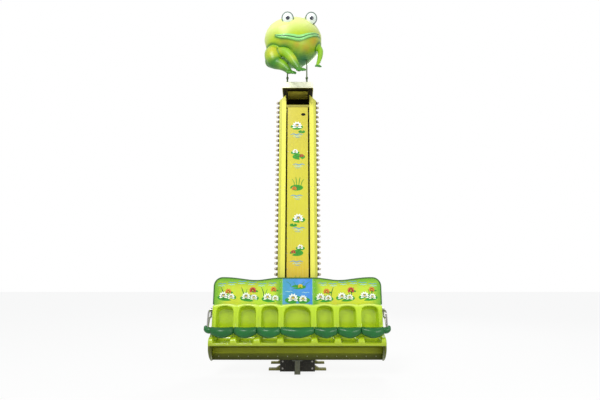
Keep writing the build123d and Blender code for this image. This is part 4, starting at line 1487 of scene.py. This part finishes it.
# Car steel and panels
class RIDE_OT_car_finish(bpy.types.Operator):
    """Paints the back panel, its rim, the carriage, frame and lap bar steel"""
    bl_idname = "ride.car_finish"
    bl_label = "Car finish"

    def execute(self, context):
        tint = colours()
        carriage = painted("Carriage paint", tint.carriage, 0.10, 0.12, 0.15, 0.40)
        dress(carriage, "carriage_frame", "car_frame")
        dress(painted("Roller rubber", paint(38, 38, 38), 0.10, 0.0, 0.20, 0.6), "carriage_rollers")
        dress(lime_panel_paint(tint), "back_panel_left", "back_panel_right")
        dress(blue_panel_paint(tint), "back_panel_centre")
        dress(painted("Rim paint", tint.rim, 0.08, 0.03, 0.05, 0.24, 0.4), "back_panel_rim")
        steel = painted("Arm steel", paint(150, 148, 146), 0.08, 0.05, 0.10, 0.26, 0.2, 0.9)
        dress(steel, "lap_arm_left", "lap_arm_right", "lap_tube")
        dress(painted("Bracket steel", tint.steel, 0.08, 0.05, 0.12, 0.32, 0.1, 0.9), "pivot_brackets")
        return {"FINISHED"}


def lime_panel_paint(tint):
    """Yellow-green sprayed over green: greener along the outer, upper and inner edges, plain behind."""
    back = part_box("back_panel_left")[1].y
    made = Finish("Lime panel paint", tint.lime)
    outer = made.along(ACROSS, 1.10, 1.33, both_sides=True)
    inner = made.along(ACROSS, 0.40, 0.27, both_sides=True)
    edge = made.join("MAXIMUM", made.join("MAXIMUM", outer, inner), made.along(UP, 1.27, 1.42))
    made.spray(paint(186, 220, 42), made.patches(2.6, 2.0, 0.46, 0.62), 0.2, 5.0)
    warm = made.join("MULTIPLY", made.patches(3.9, 2.0, 0.54, 0.70), 0.75)
    made.spray(paint(220, 200, 56), warm, 0.2, 6.0)
    made.spray(tint.lime_edge, edge, 0.35, 5.0)
    made.spray(paint(150, 186, 26), made.along(DEPTH, back - 0.004, back - 0.001), 0.05, 3.0)
    return made.lacquer(0.04, 0.03, 0.03, 0.24, 0.10, {COAT: 0.4})


def blue_panel_paint(tint):
    """Sky blue, greener to the left, with pale clouds and a green strip down each side."""
    made = Finish("Blue panel paint", tint.blue)
    made.spray(paint(62, 158, 190), made.along(ACROSS, 0.12, -0.26, shape="LINEAR"), 0.5, 6.0)
    pale = made.join("MULTIPLY", made.patches(7.0, 3.0, 0.5, 0.75), 0.5)
    made.spray(paint(112, 168, 240), pale, 0.2, 8.0)
    made.spray(paint(124, 192, 76), made.along(ACROSS, 0.234, 0.238, both_sides=True), 0.1, 8.0)
    return made.lacquer(0.05, 0.03, 0.03, 0.24, 0.10, {COAT: 0.4})


# Decals of water plants
LEAF, VEIN, BLOOM, HEART, WARM, RED, WATER, PALE_WATER = range(8)
INKS = (
    ("leaf", 44, 150, 18), ("vein", 24, 104, 16), ("bloom", 242, 246, 236), ("heart", 232, 206, 40),
    ("orange", 222, 128, 36), ("red", 196, 62, 48), ("water", 70, 150, 196), ("pale water", 158, 214, 214),
)


class RIDE_OT_artwork(bpy.types.Operator):
    """Lays decals of lily leaves, flowers, reeds and ripples on the front and back panels"""
    bl_idname = "ride.artwork"
    bl_label = "Artwork"

    def execute(self, context):
        inks = [painted(f"Decal {name}", paint(*rgb), 0.06, 0.02, 0.02, 0.25, 0.3) for name, *rgb in INKS]
        tower_art(inks)
        for side, label in ((-1, "left"), (1, "right")):
            bench_art(side, label, inks)
        centre_art(inks)
        return {"FINISHED"}


class Decals(Skin):
    """Thin plates cut to outlines (x, z) and laid on the front face of a frame node."""

    def __init__(self, node_name):
        super().__init__()
        self.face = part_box(node_name)[0].y

    def lay(self, outline, ink, layer=1):
        """A plate of one ink on its layer above the face."""
        under = self.face + 0.0004 - sizes().art_lift * (layer - 1)
        over = under - sizes().art_lift
        self.loft([[(x, under, z) for x, z in outline], [(x, over, z) for x, z in outline]], ink)

    def leaf(self, x, z, wide, high, notch, ink=LEAF, layer=1):
        """A floating leaf: an ellipse with a notch towards an angle, and its veins."""
        gap = math.radians(24)
        start = math.radians(notch)
        angles = np.linspace(start + gap / 2, start + 2 * math.pi - gap / 2, 33)
        outline = [(x + wide * math.cos(a), z + high * math.sin(a)) for a in angles]
        notch = (x + 0.12 * wide * math.cos(start), z + 0.12 * high * math.sin(start))
        self.lay(outline + [notch], ink, layer)
        for turn in np.linspace(0.22, 0.78, 4):
            a = start + 2 * math.pi * turn
            tip = (x + 0.84 * wide * math.cos(a), z + 0.84 * high * math.sin(a))
            self.stroke([(x, z), tip], 0.028 * wide, VEIN, layer + 1)

    def stroke(self, points, half, ink, layer=1):
        """A brush stroke along points, pointed at both ends."""
        line = smooth_path(points, 7)
        along = np.gradient(line, axis=0)
        along /= np.maximum(np.linalg.norm(along, axis=1), 1e-9)[:, None]
        side = np.stack([-along[:, 1], along[:, 0]], axis=1)
        width = half * np.sin(np.pi * np.linspace(0.04, 0.96, len(line))) ** 0.6
        outline = np.vstack([line + side * width[:, None], (line - side * width[:, None])[::-1]])
        self.lay([tuple(point) for point in outline], ink, layer)

    def petal(self, x, z, angle, length, half, ink, layer):
        """A petal from its root towards an angle."""
        a = math.radians(angle)
        way, side = np.array([math.cos(a), math.sin(a)]), np.array([-math.sin(a), math.cos(a)])
        start = np.array([x, z])
        outline = []
        for t in circle(20):
            along = (1 - math.cos(t)) / 2
            width = half * math.sin(t) * (1.2 - 0.4 * along)
            outline.append(tuple(start + way * length * along + side * width))
        self.lay(outline, ink, layer)

    def flower(self, x, z, size, ink=BLOOM, layer=3):
        """An open flower: outer petals, inner petals over them, and a round heart."""
        for angle in (8, 40, 72, 108, 140, 172, 205, 335):
            self.petal(x, z, angle, size, size * 0.20, ink, layer)
        for angle in (24, 56, 90, 124, 156):
            self.petal(x, z + size * 0.06, angle, size * 0.72, size * 0.17, ink, layer + 1)
        self.petal(x, z - size * 0.04, 90, size * 0.34, size * 0.17, HEART, layer + 2)

    def ripple(self, x, z, wide, ink, layer=1):
        """A small wave with two crests."""
        rise = wide * 0.16
        self.stroke([
            (x - wide, z), (x - wide / 2, z + rise), (x, z), (x + wide / 2, z + rise), (x + wide, z),
        ], wide * 0.075, ink, layer)

    def reed(self, x, z, height, lean, ink=LEAF, layer=1):
        """A blade that leans over towards its tip."""
        self.stroke([
            (x, z), (x + lean * 0.25, z + height * 0.55), (x + lean, z + height),
        ], height * 0.035, ink, layer)


def tower_art(inks):
    """Groups of water plants up the front panel, each different from the next."""
    art = Decals("front_panel")
    for number, z in enumerate(np.arange(0.72, 4.2, 0.56)):
        side = 1 if number % 2 else -1
        kind = number % 3
        art.leaf(side * 0.018, z, 0.112, 0.052, 250 + 40 * side)
        if kind == 0:
            art.flower(side * 0.012, z + 0.018, 0.088)
            art.leaf(-side * 0.072, z - 0.092, 0.064, 0.028, 80)
        elif kind == 1:
            for step, lean in ((-0.052, -0.045), (-0.018, -0.014), (0.020, 0.022), (0.056, 0.050)):
                art.reed(step, z + 0.010, 0.20 - abs(step), lean, LEAF, 3)
            art.flower(side * 0.060, z - 0.020, 0.046, WARM, 4)
        else:
            art.leaf(-side * 0.046, z + 0.078, 0.076, 0.036, 120)
            art.flower(-side * 0.044, z + 0.092, 0.052)
            art.flower(side * 0.070, z + 0.012, 0.040, RED)
        for step, wide, ink in ((0.0, 0.110, WATER), (-0.030, 0.075, PALE_WATER), (-0.058, 0.050, WATER)):
            art.ripple(side * 0.020 + step * 0.3 * side, z - 0.150 + step, wide, ink)
    art.build("tower_decals", "tower", "panel_yellow", inks, smooth=False)


def bench_art(side, label, inks):
    """Leaves and flowers above the seats, under a band of ripples."""
    art = Decals(f"back_panel_{label}")
    for number, away in enumerate((0.42, 0.76, 1.12)):
        x, rise = side * away, 0.012 * number
        art.leaf(x, 1.105 + rise, 0.150, 0.052, 270 - 40 * side)
        art.flower(x - 0.055, 1.128 + rise, 0.070)
        art.flower(x + 0.068, 1.112 + rise, 0.058)
    for away, z, size, ink in (
        (0.46, 1.215, 0.052, WARM), (0.85, 1.235, 0.058, RED), (1.18, 1.245, 0.050, WARM),
    ):
        x = away if side > 0 else away - 1.56
        art.flower(x, z, size, ink, 3)
        art.leaf(x + 0.030, z - 0.012, size * 0.95, size * 0.34, 300, LEAF, 1)
    for number, away in enumerate(np.linspace(0.40, 1.20, 6)):
        lift = 0.018 * math.sin(away * 9)
        art.ripple(side * away, 1.352 + lift, 0.072, WATER)
        art.ripple(side * (away + 0.012), 1.322 + lift, 0.058, PALE_WATER)
        if number % 2:
            art.reed(side * (away - 0.03), 1.100, 0.19, side * 0.045, VEIN)
            art.reed(side * (away - 0.05), 1.100, 0.16, -side * 0.030)
    art.build(f"bench_decals_{label}", "car", "panel_lime", inks, smooth=False)


def centre_art(inks):
    """A large leaf with two flowers, and a smaller one with reeds above it."""
    art = Decals("back_panel_centre")
    art.leaf(0.0, 1.085, 0.200, 0.062, 270)
    art.flower(-0.070, 1.110, 0.082)
    art.flower(0.088, 1.100, 0.066)
    art.leaf(0.020, 1.290, 0.115, 0.034, 200)
    for step, lean in ((-0.10, -0.10), (-0.03, -0.05), (0.06, 0.07), (0.12, 0.11)):
        art.reed(step, 1.285, 0.095, lean * 0.8, LEAF, 3)
    art.flower(0.045, 1.300, 0.040, HEART, 4)
    for x, z in ((-0.14, 1.215), (0.13, 1.200)):
        art.ripple(x, z, 0.062, PALE_WATER)
    art.build("centre_decals", "car", "panel_blue", inks, smooth=False)


# Fasteners
# How a part built along +X is turned to stand out from a face, and the way out of that face
FACES = {
    "left": ((0, 0, math.pi), Vector((-1, 0, 0))), "right": ((0, 0, 0), Vector((1, 0, 0))),
    "front": ((0, 0, -math.pi / 2), Vector((0, -1, 0))), "back": ((0, 0, math.pi / 2), Vector((0, 1, 0))),
}
# How far out from a face the ray starts that looks for it
RAY_REACH = 2.0


class RIDE_OT_fasteners(bpy.types.Operator):
    """Sets rows of hexagon bolts and dome rivets on the faces that they hold"""
    bl_idname = "ride.fasteners"
    bl_label = "Fasteners"

    def execute(self, context):
        kinds = {}
        for kind, skin, colour, wear in (
            ("Bolt", bolt_shape(sizes().bolt_radius), paint(142, 140, 134), (0.10, 0.05, 0.20, 0.32)),
            ("Rivet", rivet_shape(sizes().rivet_radius), paint(186, 184, 172), (0.06, 0.03, 0.10, 0.28)),
        ):
            finish = painted(f"{kind} steel", colour, *wear, metallic=0.9)
            kinds[kind.lower()] = linked(kind, skin.mesh(kind)), finish
        for body, rows in (("tower", tower_rows()), ("car", car_rows())):
            meshes = []
            for kind, node_name, count, start, step, way in rows:
                part, finish = kinds[kind]
                spot = on_face(node_name, start, way)
                meshes.append(row_of(part, count, spot, step, FACES[way][0], finish))
            finish_joined(f"{body}_fasteners", meshes, body)
        for part, _ in kinds.values():
            bpy.data.objects.remove(part)
        return {"FINISHED"}


def bolt_shape(radius):
    """A hexagon head with a chamfered top, on a round washer."""
    skin = turned_profile([(-0.002, radius * 1.35), (0.0018, radius * 1.35), (0.0022, radius * 1.28)], 20)
    head = turned_profile([(0.0020, radius), (radius * 0.60, radius), (radius * 0.70, radius * 0.86)], 6)
    skin.add(head.vertices, head.faces)
    return skin


def rivet_shape(radius):
    """A low dome on a thin edge."""
    return turned_profile([
        (-0.002, radius), (0.0006, radius), (radius * 0.34, radius * 0.86), (radius * 0.56, radius * 0.52),
        (radius * 0.62, radius * 0.15),
    ], 12)


def on_face(node_name, point, way):
    """Where a node's skin is met on the way in towards a point, from the side that the face looks to."""
    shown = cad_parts[node_name]
    tree = bvh_of(shown.data, shown.matrix_world)
    out = FACES[way][1]
    start = Vector(point) + out * RAY_REACH
    return tuple(first_hit(tree, start, -out, f"a fastener on {node_name}")[0])


def tower_rows():
    """Each row: kind, node it sits on, count, first place, step and the way the face looks."""
    rows = []
    panel_low, panel_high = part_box("front_panel")
    cover_low, cover_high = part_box("back_cover")
    house_low, house_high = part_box("base_housing")
    cap_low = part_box("head_cap")[0]
    cap_z = cap_low.z + 0.022
    house_y, foot_z = house_low.y + 0.07, house_low.z + 0.030
    for side, way in ((-1, "left"), (1, "right")):
        panel_x, cover_x = side * (panel_high.x - 0.010), side * (cover_high.x - 0.020)
        rows += [
            ("rivet", "front_panel", 17, (panel_x, 0, panel_low.z + 0.10), (0, 0, 0.255), "front"),
            ("rivet", "back_cover", 15, (cover_x, 0, cover_low.z + 0.06), (0, 0, 0.305), "back"),
            ("bolt", "base_housing", 5, (side, house_y, foot_z), (0, 0.142, 0), way),
            ("bolt", "base_housing", 5, (side, house_y, house_high.z - 0.030), (0, 0.142, 0), way),
            ("bolt", "base_housing", 2, (side * 0.232, 0, foot_z), (0, 0, 0.104), "front"),
            ("bolt", "head_frame", 3, (side, 0.030, 4.715), (0, 0.045, 0), way),
            ("rivet", f"column_{way}", 2, (side * 0.300, 0, 2.92), (0, 0, 0.06), "front"),
            ("rivet", f"column_{way}", 2, (side * 0.226, 0, 2.92), (0, 0, 0.06), "front"),
            ("rivet", "head_cap", 4, (side, cap_low.y + 0.06, cap_z), (0, 0.11, 0), way),
        ]
    rows.append(("rivet", "head_cap", 5, (-0.22, 0, cap_z), (0.11, 0, 0), "front"))
    return rows


def car_rows():
    """The car's rows, listed as the tower's are."""
    rows = []
    for side, way in ((-1, "left"), (1, "right")):
        panel = f"back_panel_{way}"
        rows += [
            ("rivet", panel, 4, (side * 0.272, 0, 1.085), (0, 0, 0.095), "front"),
            ("rivet", "back_panel_centre", 4, (side * 0.244, 0, 1.085), (0, 0, 0.095), "front"),
            ("rivet", panel, 9, (0.30 if side > 0 else -1.26, 0, 1.24), (0.12, 0, 0), "back"),
            ("bolt", "pivot_brackets", 1, (side, -0.385, 0.942), (0, 0, 0.02), way),
        ]
    rows.append(("rivet", "skirt_panel", 17, (-1.20, 0, 0.262), (0.15, 0, 0), "front"))
    rows.append(("bolt", "car_frame", 7, (-1.20, 0, 1.16), (0.40, 0, 0), "back"))
    return rows


OPERATORS = (
    RIDE_OT_stage, RIDE_OT_tower_finish, RIDE_OT_lamps, RIDE_OT_figure, RIDE_OT_car_finish,
    RIDE_OT_artwork, RIDE_OT_bench, RIDE_OT_padding, RIDE_OT_fasteners,
)


class RIDE_PT_panel(bpy.types.Panel):
    """Lists the steps that finish the ride."""
    bl_idname = "RIDE_PT_panel"
    bl_label = "Drop tower ride"
    bl_space_type = "VIEW_3D"
    bl_region_type = "UI"
    bl_category = "Ride"

    def draw(self, context):
        for made in OPERATORS:
            self.layout.operator(made.bl_idname)
        for settings in (context.scene.ride_sizes, context.scene.ride_colours):
            box = self.layout.box()
            for name in settings.bl_rna.properties.keys():
                if name not in ("rna_type", "name"):
                    box.prop(settings, name)


CLASSES = (RideColours, RideSizes) + OPERATORS + (RIDE_PT_panel,)


def register():
    """Registers the classes and the settings that the scene keeps."""
    for made in CLASSES:
        bpy.utils.register_class(made)
    bpy.types.Scene.ride_sizes = PointerProperty(type=RideSizes)
    bpy.types.Scene.ride_colours = PointerProperty(type=RideColours)


def unregister():
    """Takes away what register added."""
    del bpy.types.Scene.ride_colours
    del bpy.types.Scene.ride_sizes
    for made in reversed(CLASSES):
        bpy.utils.unregister_class(made)


def main():
    """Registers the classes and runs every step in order."""
    register()
    for made in OPERATORS:
        category, name = made.bl_idname.split(".")
        getattr(getattr(bpy.ops, category), name)()


if __name__ == "__main__":
    main()
